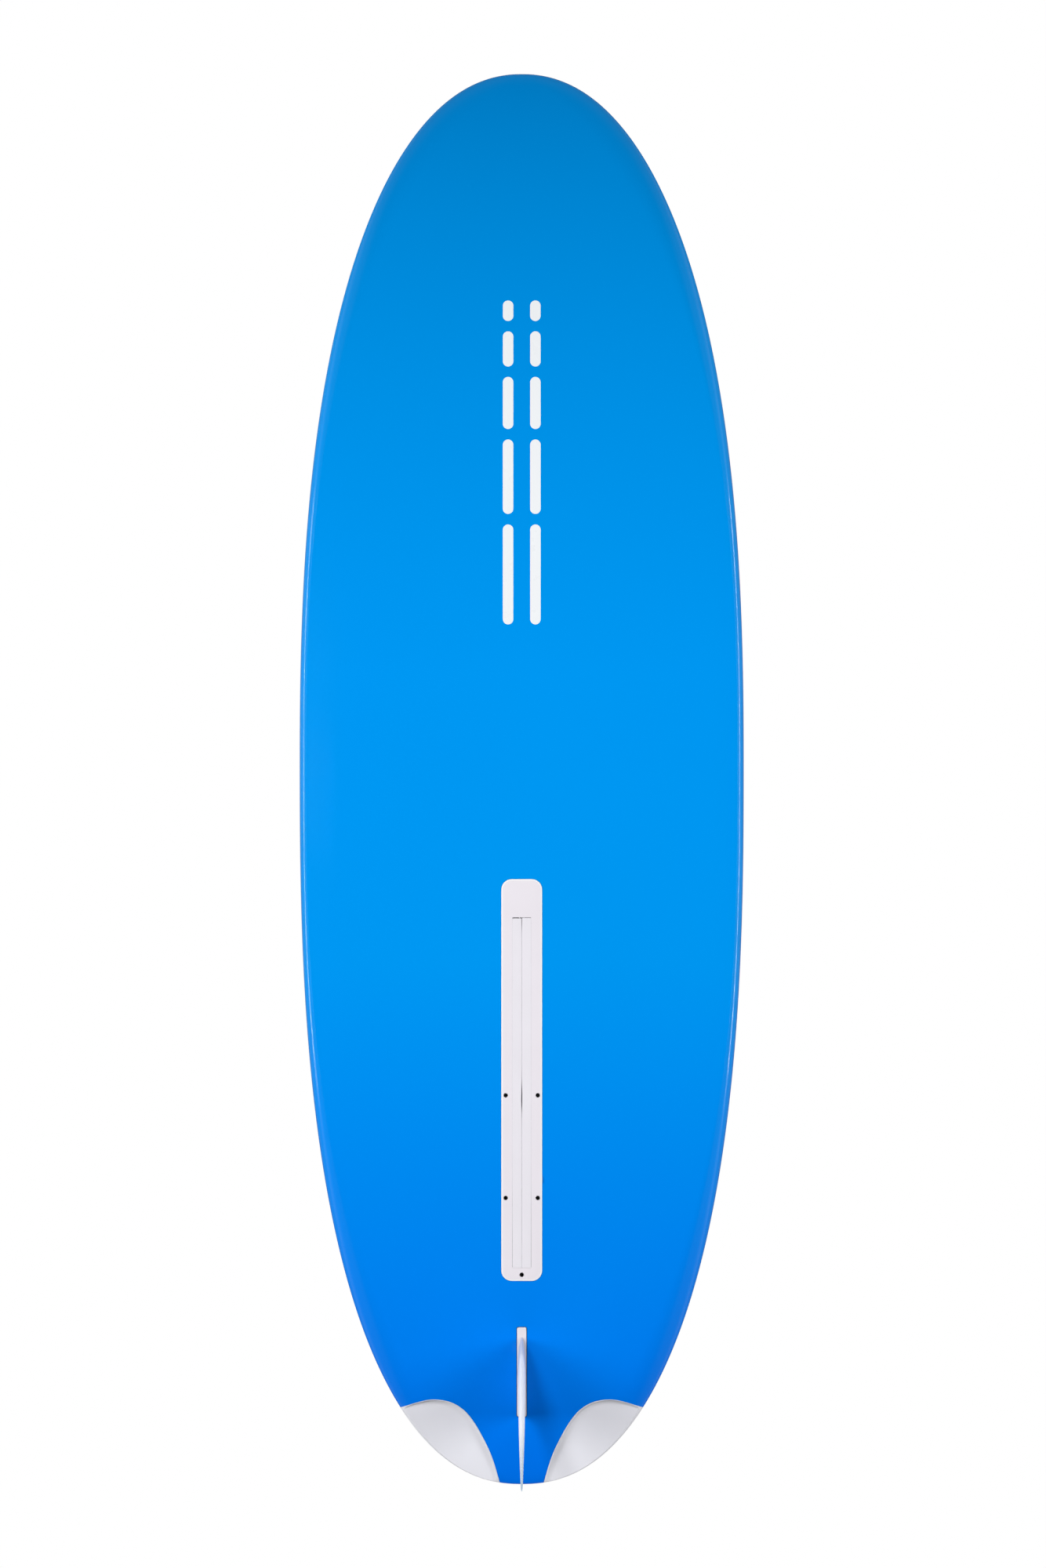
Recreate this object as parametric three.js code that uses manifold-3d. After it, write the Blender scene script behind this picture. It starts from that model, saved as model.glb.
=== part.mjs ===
// A beginner's windsurf board with a swinging centreboard: skins on a foam core, with the centreboard and its
// well, the fin and its box, the mast track, the vent, the deck pad and the footstraps as separate pieces.
// Millimetres. +X points to the nose, +Y to port and +Z up out of the deck. The origin is on the centre line
// and on the flat of the bottom, 1345 mm ahead of the tail.

import * as THREE from "three";
import { mergeVertices } from "three/addons/utils/BufferGeometryUtils.js";
import { LoftGeometry } from "three/addons/geometries/LoftGeometry.js";
import Module from "manifold-3d";

const wasm = await Module();
wasm.setup();

// ---------------------------------------------------------------- driving dimensions

const GAP = 0.3; // between neighbouring pieces
const LAP = 1; // how far joined solids run into each other
const WELD = 1e-3; // corners closer than this are one

// ends of the cutters that open the hull
const LOW = -40; // below the hull
const OVER_BOTTOM = 20; // clear above the bottom skin
const UNDER_TAIL_DECK = 50; // clear under the deck by the fin
const OVER_CUTAWAYS = 90; // clear above the tail cutaways
const UNDER_DECK = 100; // clear under the deck amidships
const HIGH = 200; // above the deck
const ACROSS = 20; // half the length of the cutters across the centre line

// hull outline, seen from above
const NOSE_X = 1372;
const TAIL_X = -1345;
const WIDEST_X = 28;
const HALF_WIDTH = 424.5;
const NOSE_POWERS = [2.434, 2.152];
const TAIL_POWERS = [2.604, 2.262];
const END_SHARE = 0.9998; // how far towards each tip the hull is built

// hull profile, seen from the side
const THICKEST = 128;
const NOSE_THINNING = { from: 180, by: 88, power: 1.9 };
const TAIL_THINNING = { from: -470, by: 84, power: 2 };
const NOSE_ROCKER = { from: 400, rise: 175, power: 2.4 };
const TAIL_ROCKER = { from: -960, rise: 14, power: 2 };
const CLOSING = { from: 0.72, power: 4 }; // each half's thickness closes to the tip after this share of it
const RAIL_SHARE = 0.42; // height of the widest line in the thickness
const SEAM_SHARE = 0.08; // height of the seam above that line
const DECK_POWER = 3.1; // crown of the deck across the board
const TUCK = { middle: 16, growth: 100, power: 3 }; // width of the rail's turn below

// hull construction
const SKIN = 6;
const HOLLOW_SHARE = 0.98; // beyond this share of each half the skins are solid
const RAIL_STEPS = 4;
const DECK_STEPS = 6;

// tail cutaways
const CUTAWAY_FRONT_X = -1180;
const CUTAWAY_FLOOR = { height: 22, slope: 0.055 };
const CUTAWAY_SKIN = 5;
const CUTAWAY_WALL = { base: -20, below: 1.5, above: 6 }; // the wall leans in from its base to the floor
const CUTAWAY_ROOM = 90; // how far ahead of the cutaways their stretch of hull is built
const AFT_X = TAIL_X - 75; // well aft of the tail
// edge of the port cutaway in plan, from the rail round to the tail
const CUTAWAY_LINE = [
  [-1206, 252],
  [CUTAWAY_FRONT_X, 172],
  [-1200, 110],
  [-1275, 63],
  [-1355, 38],
];

// centreboard and its well
const PIVOT = { x: -335, z: 62, radius: 5, sides: 16 };
const BLADE_HALF = 7.5;
const BLADE_EDGE = { thick: 4, wide: 10 };
const HEAD_RADIUS = 46;
const BLADE_REACH = 575;
// edge of the blade in side view, from its head round to the lower corner: [aft of the pivot, above it]
const BLADE_LINE = [
  [120, HEAD_RADIUS],
  [360, 34],
  [BLADE_REACH - 35, 12],
  [BLADE_REACH, -20],
  [BLADE_REACH - 35, -44],
];
const LEVER = { angle: 45, root: 18, shoulder: 92, reach: 126, half: 4, halfWide: 13, neckHalf: 7 };
const RIVET = { along: 29, aside: 6, radius: 2.5, inset: 0.2 };
const GRIP = { radius: 14, half: 17, fromEnd: 8 };
const WELL = { front: -198, back: -935, half: 15, inner: 10, ceiling: 4, roofParts: 3 };
const BUSH = { wall: 3, collar: 12, inset: 0.2 };
const SIDE_PLAY = 0.4; // between the blade and what holds it on each side
const FRICTION_PAD = { half: 18, top: 22, bottom: 36 }; // heights are below the pivot
const SLOT = { front: -263, back: -929, half: 18, slit: 0.4, lipRoom: 0.4 };
const SLOT_PLATE = { front: -190, back: -954, half: 39, radius: 20, bottom: -0.4, top: 3.1 };
const PLATE_SCREWS = [
  [-601, 30.5],
  [-601, -30.5],
  [-796, 30.5],
  [-796, -30.5],
  [-942, 0],
];
const PLATE_SCREW = { head: 4, rim: 1, cone: 3, neck: 2.6, shank: 1.6, length: 7.3, drive: 1.6 };
const PLATE_SCREW_SINK = { bore: 2.3, head: 0.1 }; // below the plate's face
const DECK_PLATE = { front: -215, back: -455, half: 33, radius: 12, bottom: 126.6, top: 129.6 };
const DECK_SCREW = { fromEnd: 11, aside: 22 };
const LEVER_SLOT = { front: -238, back: -432, half: 10 };

// fin and its box
const FIN_BASE = { front: -1042, back: -1213, half: 9, radius: 3, height: 50, proud: 0.5, taper: 1 };
const FIN = { front: -1060, tipFront: -1250, tipBack: -1301, root: 16, depth: 380 };
const FIN_HALF = { root: 7.2, tip: 2.2, power: 3.5 }; // stays thick at first and thins towards the tip
const FIN_SWEEP = 1.7; // power of the leading edge's curve
const FIN_HOLLOW = 0.75; // how strongly the trailing edge curves
// the tip is rounded off towards a place in the middle of the chord
const FIN_TIP = { closing: 0.85, power: 10, middle: 0.35 };
// share of the thickness kept at the trailing edge, and how it grows ahead of it
const FIN_SECTION = { fill: 0.55, power: 0.3 };
const FIN_BOX = { margin: 6, bottom: 17, top: 57 };
const BOSS = { radius: 13, sides: 16, recess: 10, depth: 9 };
const FIN_BOLT = { x: -1128, end: 24, radius: 3, head: 5.5, height: 6, drive: 2.9, floor: 2.5 };
const FIN_WASHER = { radius: 9, thick: 1.6 };
const FIN_NUT = { z: 33, radius: 6, half: 8 };

// mast track, vent, pad and straps
const TRACK = { front: 160, back: -140, half: 24, radius: 10, bodyHalf: 19, top: 128.6, bottom: 96 };
const TRACK_SLOT = { half: 5.5, channelHalf: 12.5, lip: 6, depth: 17, end: 14, entry: 32 };
const VENT = { x: 330, radius: 11, depth: 24, seat: 4 };
const VENT_SCREW = { radius: 4, end: 18, head: 8, height: 3.5, slotReach: 6, slotHalf: 0.9, slotFloor: 1.5 };
const VENT_RING = { thick: 1, inside: 0.6, lift: 0.2, room: 0.5 };
const PAD = { front: 300, back: -1185, inset: 78, endPower: 7, lift: GAP, thickness: 4 };
const PAD_ROOM = { plates: 1, screws: 4 };
const PAD_STRETCH = { aft: 100, ahead: 200 }; // how far past the pad its layer is built
const STRAP = { holeAt: 82, halfWidth: 27, footHalf: 98, footThick: 5, half: 58, rise: 58, thick: 7 };
const STRAP_LIFT = 0.7; // of the strap's feet above the pad
const STRAP_CUT = 30; // the bores at the strap's ends reach this far above the deck
const ARCH_POWER = 0.75;
const STRAP_SCREW = { radius: 2.5, end: 18, head: 6.5, height: 3.8, drive: 2, floor: 1.4 };
const STRAP_SCREW_DOME = { foot: 6, rise: 2.6, top: 3.5 };
const PLUG = { radius: 9, top: -1.6, bottom: -27, floor: 5 };
const STRAPS = [
  { name: "port", x: -520, y: 205, turn: 22 },
  { name: "starboard", x: -520, y: -205, turn: -22 },
  { name: "rear", x: -1020, y: 0, turn: 90 },
];

// ---------------------------------------------------------------- materials

function paint(color, roughness, metalness = 0) {
  return new THREE.MeshStandardMaterial({ color, roughness, metalness });
}

const MATERIALS = {
  hullBlue: paint(0x0496f0, 0.28),
  deckWhite: paint(0xe9ebee, 0.42),
  foam: paint(0xf3f1ea, 0.95),
  panelGrey: paint(0xdcdbe2, 0.35),
  plateWhite: paint(0xe8e7ee, 0.38),
  finWhite: paint(0xecf4f8, 0.25),
  bladeGrey: paint(0xb9bfc6, 0.4),
  blackPlastic: paint(0x1f2226, 0.55),
  rubber: paint(0x17181a, 0.85),
  lipWhite: paint(0xe4e3ea, 0.6),
  padGrey: paint(0x5a6672, 0.95),
  webbing: paint(0x22262b, 0.9),
  steel: paint(0xa9adb1, 0.3, 1),
  brass: paint(0xb08d4f, 0.35, 1),
};

// ---------------------------------------------------------------- solids and cutters

const board = new THREE.Group();

// a closed geometry as a solid for cutting and joining
function solid(geometry) {
  const bare = new THREE.BufferGeometry();
  const flat = geometry.index ? geometry.toNonIndexed() : geometry;
  bare.setAttribute("position", flat.getAttribute("position").clone());
  const merged = mergeVertices(bare, WELD);
  const triVerts = new Uint32Array(merged.index.array);
  const vertProperties = merged.attributes.position.array;
  const made = new wasm.Manifold(new wasm.Mesh({ numProp: 3, vertProperties, triVerts }));
  if (made.volume() > 0) return made;
  return new wasm.Manifold(new wasm.Mesh({ numProp: 3, vertProperties, triVerts: triVerts.reverse() }));
}

function geometryOf(made) {
  const { vertProperties, triVerts } = made.getMesh();
  const indexed = new THREE.BufferGeometry();
  indexed.setAttribute("position", new THREE.BufferAttribute(vertProperties, 3));
  indexed.setIndex(new THREE.BufferAttribute(triVerts, 1));
  const flat = indexed.toNonIndexed();
  flat.computeVertexNormals();
  return flat;
}

function place(name, shape, material, frame) {
  const made = shape.isBufferGeometry ? solid(shape) : shape;
  const mesh = new THREE.Mesh(geometryOf(made), material);
  mesh.name = name;
  if (frame) mesh.applyMatrix4(frame);
  board.add(mesh);
}

function box(x0, x1, y0, y1, z0, z1) {
  const geometry = new THREE.BoxGeometry(x1 - x0, y1 - y0, z1 - z0);
  return geometry.translate((x0 + x1) / 2, (y0 + y1) / 2, (z0 + z1) / 2);
}

// a rod from z0 to z1, standing at x, y
function rod(radius, x, y, z0, z1, sides = 10) {
  const geometry = new THREE.CylinderGeometry(radius, radius, z1 - z0, sides);
  return geometry.rotateX(Math.PI / 2).translate(x, y, (z0 + z1) / 2);
}

// a cutter that clears a round piece of this radius
function bore(radius, x, y, z0, z1, sides = 10) {
  return rod((radius + GAP) / Math.cos(Math.PI / sides), x, y, z0, z1, sides);
}

// a rod across the board from y0 to y1
function crossRod(radius, x, z, y0, y1, sides = 10) {
  const geometry = new THREE.CylinderGeometry(radius, radius, y1 - y0, sides);
  return geometry.translate(x, (y0 + y1) / 2, z);
}

function crossBore(radius, x, z, y0, y1, sides = 10) {
  return crossRod((radius + GAP) / Math.cos(Math.PI / sides), x, z, y0, y1, sides);
}

// a turned piece standing on its axis: profile points are [radius, height]
function turned(profile, sides = 10) {
  const points = profile.map(([radius, height]) => new THREE.Vector2(radius, height));
  return new THREE.LatheGeometry(points, sides).rotateX(Math.PI / 2);
}

function extruded(shape, depth, curveSegments = 3) {
  return new THREE.ExtrudeGeometry(shape, { depth, bevelEnabled: false, curveSegments });
}

// a plan shape raised from z0 to z1
function planPlate(shape, z0, z1, curveSegments) {
  return extruded(shape, z1 - z0, curveSegments).translate(0, 0, z0);
}

// a side view in x and z, spread across the board from y0 to y1
function sidePlate(shape, y0, y1, curveSegments) {
  return extruded(shape, y1 - y0, curveSegments).rotateX(Math.PI / 2).translate(0, y1, 0);
}

function roundedRectangle(back, front, half, radius) {
  const shape = new THREE.Shape();
  shape.moveTo(back + radius, -half);
  shape.absarc(front - radius, -half + radius, radius, -Math.PI / 2, 0);
  shape.absarc(front - radius, half - radius, radius, 0, Math.PI / 2);
  shape.absarc(back + radius, half - radius, radius, Math.PI / 2, Math.PI);
  shape.absarc(back + radius, -half + radius, radius, Math.PI, 1.5 * Math.PI);
  return shape;
}

function polygon(points) {
  return new THREE.Shape(points.map(([x, y]) => new THREE.Vector2(x, y)));
}

// a closed body through rings of points; each ring is turned to wind as the loft's direction asks
function lofted(rings) {
  const middle = (ring) => ring.reduce((sum, p) => sum.add(p), new THREE.Vector3()).divideScalar(ring.length);
  const direction = middle(rings[rings.length - 1]).sub(middle(rings[0]));
  const first = rings[0];
  const normal = new THREE.Vector3();
  first.forEach((p, i) => normal.add(p.clone().cross(first[(i + 1) % first.length])));
  const sections = normal.dot(direction) > 0 ? rings : rings.map((ring) => [...ring].reverse());
  return new LoftGeometry(sections, { capStart: true, capEnd: true });
}

const cut = (whole, ...tools) => tools.reduce((rest, tool) => rest.subtract(solid(tool)), whole);
const join = (first, ...others) => others.reduce((all, other) => all.add(solid(other)), solid(first));

// ---------------------------------------------------------------- hull surface

// how far x lies from the widest place towards the tip on its side
const endShare = (x) => (x - WIDEST_X) / ((x > WIDEST_X ? NOSE_X : TAIL_X) - WIDEST_X);
const past = (x, from, end) => Math.max(0, (x - from) / (end - from));

function halfWidth(x) {
  const [along, across] = x > WIDEST_X ? NOSE_POWERS : TAIL_POWERS;
  return HALF_WIDTH * (1 - endShare(x) ** along) ** (1 / across);
}

function fullThickness(x) {
  const nose = NOSE_THINNING.by * past(x, NOSE_THINNING.from, NOSE_X) ** NOSE_THINNING.power;
  const tail = TAIL_THINNING.by * past(x, TAIL_THINNING.from, TAIL_X) ** TAIL_THINNING.power;
  return THICKEST - nose - tail;
}

function rocker(x) {
  const nose = NOSE_ROCKER.rise * past(x, NOSE_ROCKER.from, NOSE_X) ** NOSE_ROCKER.power;
  const tail = TAIL_ROCKER.rise * past(x, TAIL_ROCKER.from, TAIL_X) ** TAIL_ROCKER.power;
  return nose + tail;
}

// heights of the bottom, the widest line, the seam and the deck on the centre line, and the section's widths
function section(x) {
  const closing = Math.sqrt(1 - past(endShare(x), CLOSING.from, 1) ** CLOSING.power);
  const thickness = fullThickness(x) * closing;
  const rail = rocker(x) + RAIL_SHARE * fullThickness(x);
  const half = halfWidth(x);
  const tuck = TUCK.middle + TUCK.growth * endShare(x) ** TUCK.power;
  return {
    half,
    flat: half * Math.exp(-tuck / half),
    rail,
    bottom: rail - RAIL_SHARE * thickness,
    seam: rail + SEAM_SHARE * thickness,
    deck: rail + (1 - RAIL_SHARE) * thickness,
  };
}

function deckHeight(x, y) {
  const { half, rail, deck } = section(x);
  return rail + (deck - rail) * (1 - (Math.abs(y) / half) ** DECK_POWER) ** (1 / DECK_POWER);
}

// half of the underside at x, moved outwards by offset, from the seam down to the centre line
function lowerHalf(x, offset) {
  const { half, flat, rail, bottom } = section(x);
  const points = [];
  for (let step = RAIL_STEPS; step >= 0; step--) {
    const turn = ((step / RAIL_STEPS) * Math.PI) / 2;
    const y = flat + (half + offset - flat) * Math.sin(turn);
    points.push([y, rail - (rail - bottom + offset) * Math.cos(turn)]);
  }
  points.push([0, bottom - offset]);
  return points;
}

// half of the deck at x, moved outwards by offset, from the seam up to the centre line
function upperHalf(x, offset) {
  const { half, rail, seam, deck } = section(x);
  const height = deck - rail + offset;
  const start = Math.asin(((seam - rail) / height) ** (DECK_POWER / 2));
  const points = [];
  for (let step = 0; step <= DECK_STEPS; step++) {
    const turn = start + (step / DECK_STEPS) * (Math.PI / 2 - start);
    const y = (half + offset) * Math.abs(Math.cos(turn)) ** (2 / DECK_POWER);
    points.push([step === DECK_STEPS ? 0 : y, rail + height * Math.sin(turn) ** (2 / DECK_POWER)]);
  }
  return points;
}

const mirrored = (points) => points.map(([y, z]) => [-y, z]).reverse();
const across = (half) => [...half, ...mirrored(half).slice(1)];
const seamPoint = (x, offset, shift) => [upperHalf(x, offset)[0][0], section(x).seam + shift];

// the whole underside at x from port seam to starboard seam, and the whole deck likewise
const underside = (x, offset) => across([seamPoint(x, offset, -GAP / 2), ...lowerHalf(x, offset)]);
const deckside = (x, offset) => across([seamPoint(x, offset, GAP / 2), ...upperHalf(x, offset).slice(1)]);

function spread(from, to, count) {
  return Array.from({ length: count }, (_, i) => from + ((to - from) * i) / count);
}

// places that crowd together towards a tip, where the outline turns fast
function towards(start, tip, count) {
  return Array.from({ length: count }, (_, i) => {
    const share = Math.sin(((i + 1) / count) * (Math.PI / 2));
    return start + (tip - start) * share;
  });
}

const TAIL_TIP = WIDEST_X - END_SHARE * (WIDEST_X - TAIL_X);
const NOSE_TIP = WIDEST_X + END_SHARE * (NOSE_X - WIDEST_X);
// the last number of each stretch is how many stations it has
const stations = [
  ...towards(TAIL_ROCKER.from, TAIL_TIP, 8).reverse(),
  ...spread(TAIL_ROCKER.from, TAIL_THINNING.from, 4),
  ...spread(TAIL_THINNING.from, NOSE_THINNING.from, 5),
  ...spread(NOSE_THINNING.from, NOSE_ROCKER.from, 2),
  NOSE_ROCKER.from,
  ...towards(NOSE_ROCKER.from, NOSE_TIP, 10),
];
const hollow = stations.filter((x) => endShare(x) <= HOLLOW_SHARE);
const tailStations = stations.filter((x) => x < CUTAWAY_FRONT_X + CUTAWAY_ROOM);

function loft(places, ring) {
  return lofted(places.map((x) => ring(x).map(([y, z]) => new THREE.Vector3(x, y, z))));
}

// the space inside the skins, drawn in from the hull's surface by inset
function inner(inset) {
  const ring = (x) => [...across(lowerHalf(x, -inset)), ...across(upperHalf(x, -inset).slice(1)).reverse()];
  return solid(loft(hollow, ring));
}

// one skin: the hull on one side of the seam, less the space inside
const skin = (surface) => solid(loft(stations, (x) => surface(x, 0))).subtract(inner(SKIN));

// ---------------------------------------------------------------- tail cutaways

// the plan of the port cutaway, moved outwards and aft by shift
function cutawayShape(shift) {
  const shape = new THREE.Shape();
  const moved = CUTAWAY_LINE.map(([x, y]) => new THREE.Vector2(x - shift, y + shift));
  const rail = moved[0];
  const tail = moved[moved.length - 1];
  shape.moveTo(rail.x, rail.y);
  shape.splineThru(moved.slice(1));
  shape.lineTo(AFT_X, tail.y);
  shape.lineTo(AFT_X, rail.y);
  return shape;
}

const floorHeight = (x) => CUTAWAY_FLOOR.height + (CUTAWAY_FRONT_X - x) * CUTAWAY_FLOOR.slope;

// the space under a level that follows the floor, drawn in from the plan by one shift below and another above
function underFloor(side, lift, shiftBelow, shiftAbove) {
  const below = cutawayShape(shiftBelow).extractPoints(4).shape;
  const above = cutawayShape(shiftAbove).extractPoints(4).shape;
  return lofted([
    below.map((p) => new THREE.Vector3(p.x, side * p.y, CUTAWAY_WALL.base)),
    above.map((p) => new THREE.Vector3(p.x, side * p.y, floorHeight(p.x) + lift)),
  ]);
}

function overFloor(side) {
  const front = CUTAWAY_FRONT_X + CUTAWAY_ROOM;
  const plan = [
    [front, 0],
    [front, HALF_WIDTH],
    [AFT_X, HALF_WIDTH],
    [AFT_X, 0],
  ];
  const level = (height) => plan.map(([x, y]) => new THREE.Vector3(x, side * y, height(x)));
  return lofted([level((x) => floorHeight(x) + CUTAWAY_SKIN), level(() => HIGH)]);
}

function cutawayPlan(side, shift, z0, z1) {
  return planPlate(cutawayShape(shift), z0, z1).scale(1, side, 1);
}

function tailCutaway(side) {
  const outside = solid(loft(tailStations, (x) => underside(x, 0)));
  const inside = solid(loft(tailStations.filter((x) => hollow.includes(x)), (x) => underside(x, -SKIN)));
  const piece = outside.intersect(solid(cutawayPlan(side, GAP, LOW, OVER_CUTAWAYS)));
  const recessed = cut(piece, underFloor(side, 0, CUTAWAY_WALL.below, CUTAWAY_WALL.above));
  return recessed.subtract(inside.intersect(solid(overFloor(side))));
}

// ---------------------------------------------------------------- pockets in the hull

function grownPlan({ back, front, half, radius }, grow) {
  return roundedRectangle(back - grow, front + grow, half + grow, radius + grow);
}

const slotPlatePlan = (grow) => grownPlan(SLOT_PLATE, grow);
const deckPlatePlan = (grow) => grownPlan(DECK_PLATE, grow);
const trackPlan = (grow, half) => grownPlan({ ...TRACK, half }, grow);
const finBasePlan = (grow) => grownPlan(FIN_BASE, grow);
const finBoxPlan = (grow) => finBasePlan(FIN_BOX.margin + grow);

function strapFrame({ x, y, turn }) {
  const step = 5;
  const slopeX = (deckHeight(x + step, y) - deckHeight(x - step, y)) / (2 * step);
  const slopeY = (deckHeight(x, y + step) - deckHeight(x, y - step)) / (2 * step);
  const up = new THREE.Vector3(-slopeX, -slopeY, 1).normalize();
  const angle = THREE.MathUtils.degToRad(turn);
  const along = new THREE.Vector3(Math.cos(angle), Math.sin(angle), 0);
  const side = new THREE.Vector3().crossVectors(up, along).normalize();
  along.crossVectors(side, up);
  return new THREE.Matrix4().makeBasis(along, side, up).setPosition(x, y, deckHeight(x, y));
}

// cutters that clear a round piece at each end of a strap, in the strap's own frame
function endBores(radius, bottom) {
  return [STRAP.holeAt, -STRAP.holeAt].map((at) => bore(radius, at, 0, bottom, STRAP_CUT));
}

// the same at the ends of all three straps, in the hull's frame
function strapBores(radius, bottom) {
  return STRAPS.flatMap((strap) => {
    const frame = strapFrame(strap);
    return endBores(radius, bottom).map((cutter) => cutter.applyMatrix4(frame));
  });
}

function bottomShell() {
  return cut(
    skin(underside),
    planPlate(slotPlatePlan(GAP), LOW, OVER_BOTTOM),
    planPlate(finBasePlan(GAP), LOW, OVER_BOTTOM),
    cutawayPlan(1, 0, LOW, OVER_CUTAWAYS),
    cutawayPlan(-1, 0, LOW, OVER_CUTAWAYS),
  );
}

function deckShell() {
  return cut(
    skin(deckside),
    planPlate(deckPlatePlan(GAP), UNDER_DECK, HIGH),
    planPlate(trackPlan(GAP, TRACK.half), UNDER_DECK, HIGH),
    bore(VENT.radius, VENT.x, 0, UNDER_DECK, HIGH),
    bore(BOSS.radius, FIN_BOLT.x, 0, UNDER_TAIL_DECK, HIGH),
    ...strapBores(PLUG.radius, PLUG.bottom - GAP),
  );
}

// side view of the well: flat under the deck plate, then following the deck down towards the tail
function wellProfile(inset, floor) {
  const roof = (x) => section(x).deck - SKIN - 2 * GAP - (inset ? WELL.ceiling : 0);
  const front = WELL.front - inset;
  const back = WELL.back + inset;
  const tops = [front, ...spread(TAIL_THINNING.from, back, WELL.roofParts), back].map((x) => [x, roof(x)]);
  return polygon([[front, floor], ...tops, [back, floor]]);
}

const FLANGE = { bottom: SLOT_PLATE.top + GAP, thickness: 4, inset: 2 };
const TOP_FLANGE = { bottom: DECK_PLATE.bottom - GAP - SKIN, top: DECK_PLATE.bottom - GAP };

function foamCore() {
  return cut(
    inner(SKIN + GAP),
    box(WELL.back - GAP, WELL.front + GAP, -WELL.half - GAP, WELL.half + GAP, LOW, HIGH),
    planPlate(slotPlatePlan(GAP), LOW, FLANGE.bottom + FLANGE.thickness + GAP),
    planPlate(deckPlatePlan(GAP), TOP_FLANGE.bottom - GAP, HIGH),
    planPlate(trackPlan(GAP, TRACK.bodyHalf), TRACK.bottom - GAP, HIGH),
    planPlate(finBoxPlan(GAP), LOW, FIN_BOX.top + GAP),
    bore(BOSS.radius, FIN_BOLT.x, 0, UNDER_TAIL_DECK, HIGH),
    bore(VENT.radius, VENT.x, 0, section(VENT.x).deck - VENT.depth - GAP, HIGH),
    ...strapBores(PLUG.radius, PLUG.bottom - GAP),
    underFloor(1, CUTAWAY_SKIN + GAP, 0, 0),
    underFloor(-1, CUTAWAY_SKIN + GAP, 0, 0),
  );
}

function deckPad() {
  const near = (x) => x > PAD.back - PAD_STRETCH.aft && x < PAD.front + PAD_STRETCH.ahead;
  const padStations = stations.filter(near);
  const under = solid(loft(padStations, (x) => deckside(x, PAD.lift)));
  const over = solid(loft(padStations, (x) => deckside(x, PAD.lift + PAD.thickness)));
  const outline = new THREE.Shape();
  const reach = PAD.front - PAD.back;
  const steps = 16;
  const edge = (i) => {
    const x = PAD.back + (reach * (1 - Math.cos((i / steps) * Math.PI))) / 2;
    const rounding = Math.sqrt(1 - Math.abs((2 * (x - PAD.back)) / reach - 1) ** PAD.endPower);
    return [x, (halfWidth(x) - PAD.inset) * rounding];
  };
  outline.moveTo(PAD.back, 0);
  for (let i = 1; i < steps; i++) outline.lineTo(edge(i)[0], -edge(i)[1]);
  outline.lineTo(PAD.front, 0);
  for (let i = steps - 1; i > 0; i--) outline.lineTo(edge(i)[0], edge(i)[1]);
  const layer = over.subtract(under).intersect(solid(planPlate(outline, UNDER_TAIL_DECK, HIGH)));
  return cut(
    layer,
    planPlate(deckPlatePlan(PAD_ROOM.plates), UNDER_DECK, HIGH),
    planPlate(trackPlan(PAD_ROOM.plates, TRACK.half), UNDER_DECK, HIGH),
    bore(BOSS.radius + PAD_ROOM.plates, FIN_BOLT.x, 0, UNDER_TAIL_DECK, HIGH),
    ...strapBores(PAD_ROOM.screws, PLUG.bottom),
  );
}

// ---------------------------------------------------------------- centreboard and well

// a piece drawn straight ahead of the pivot, turned up to the lever's angle
function alongLever(shape) {
  const turn = THREE.MathUtils.degToRad(LEVER.angle);
  return shape.translate(-PIVOT.x, 0, -PIVOT.z).rotateY(-turn).translate(PIVOT.x, 0, PIVOT.z);
}

function centreboardCase() {
  const body = solid(sidePlate(wellProfile(0, FLANGE.bottom), -WELL.half, WELL.half));
  const whole = body
    .add(solid(planPlate(slotPlatePlan(-FLANGE.inset), FLANGE.bottom, FLANGE.bottom + FLANGE.thickness)))
    .add(solid(planPlate(deckPlatePlan(-FLANGE.inset), TOP_FLANGE.bottom, TOP_FLANGE.top)));
  return cut(
    whole,
    sidePlate(wellProfile(WELL.ceiling, LOW), -WELL.inner, WELL.inner),
    box(LEVER_SLOT.back, LEVER_SLOT.front, -LEVER_SLOT.half, LEVER_SLOT.half, UNDER_DECK, HIGH),
    crossBore(PIVOT.radius + BUSH.wall, PIVOT.x, PIVOT.z, -ACROSS, ACROSS, PIVOT.sides),
    ...PLATE_SCREWS.map(([x, y]) => bore(PLATE_SCREW.shank, x, y, LOW, OVER_BOTTOM)),
    ...deckScrewPlaces().map(([x, y]) => bore(PLATE_SCREW.shank, x, y, UNDER_DECK, HIGH)),
  );
}

function bottomSlotPlate() {
  const plate = solid(planPlate(slotPlatePlan(0), SLOT_PLATE.bottom, SLOT_PLATE.top));
  return cut(
    plate,
    box(SLOT.back, SLOT.front, -SLOT.half, SLOT.half, LOW, OVER_BOTTOM),
    ...PLATE_SCREWS.flatMap(([x, y]) => [
      bore(PLATE_SCREW.neck, x, y, LOW, OVER_BOTTOM),
      bore(PLATE_SCREW.head, x, y, LOW, SLOT_PLATE.bottom + PLATE_SCREW_SINK.bore),
    ]),
  );
}

function slotLip(side) {
  const far = SLOT.half - GAP;
  const top = SLOT_PLATE.top - SLOT.lipRoom;
  return box(SLOT.back + GAP, SLOT.front - GAP, SLOT.slit, far, SLOT_PLATE.bottom, top).scale(1, side, 1);
}

// a flat-headed screw with a six-sided drive, head down at z = 0 and shank up the axis
function plateScrew() {
  const { head, rim, cone, shank, length, drive } = PLATE_SCREW;
  const body = turned([
    [0, 0],
    [head, 0],
    [head, rim],
    [shank, cone],
    [shank, length - rim],
    [0, length],
  ]);
  return cut(solid(body), rod(drive, 0, 0, -rim, drive, 6));
}

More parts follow.
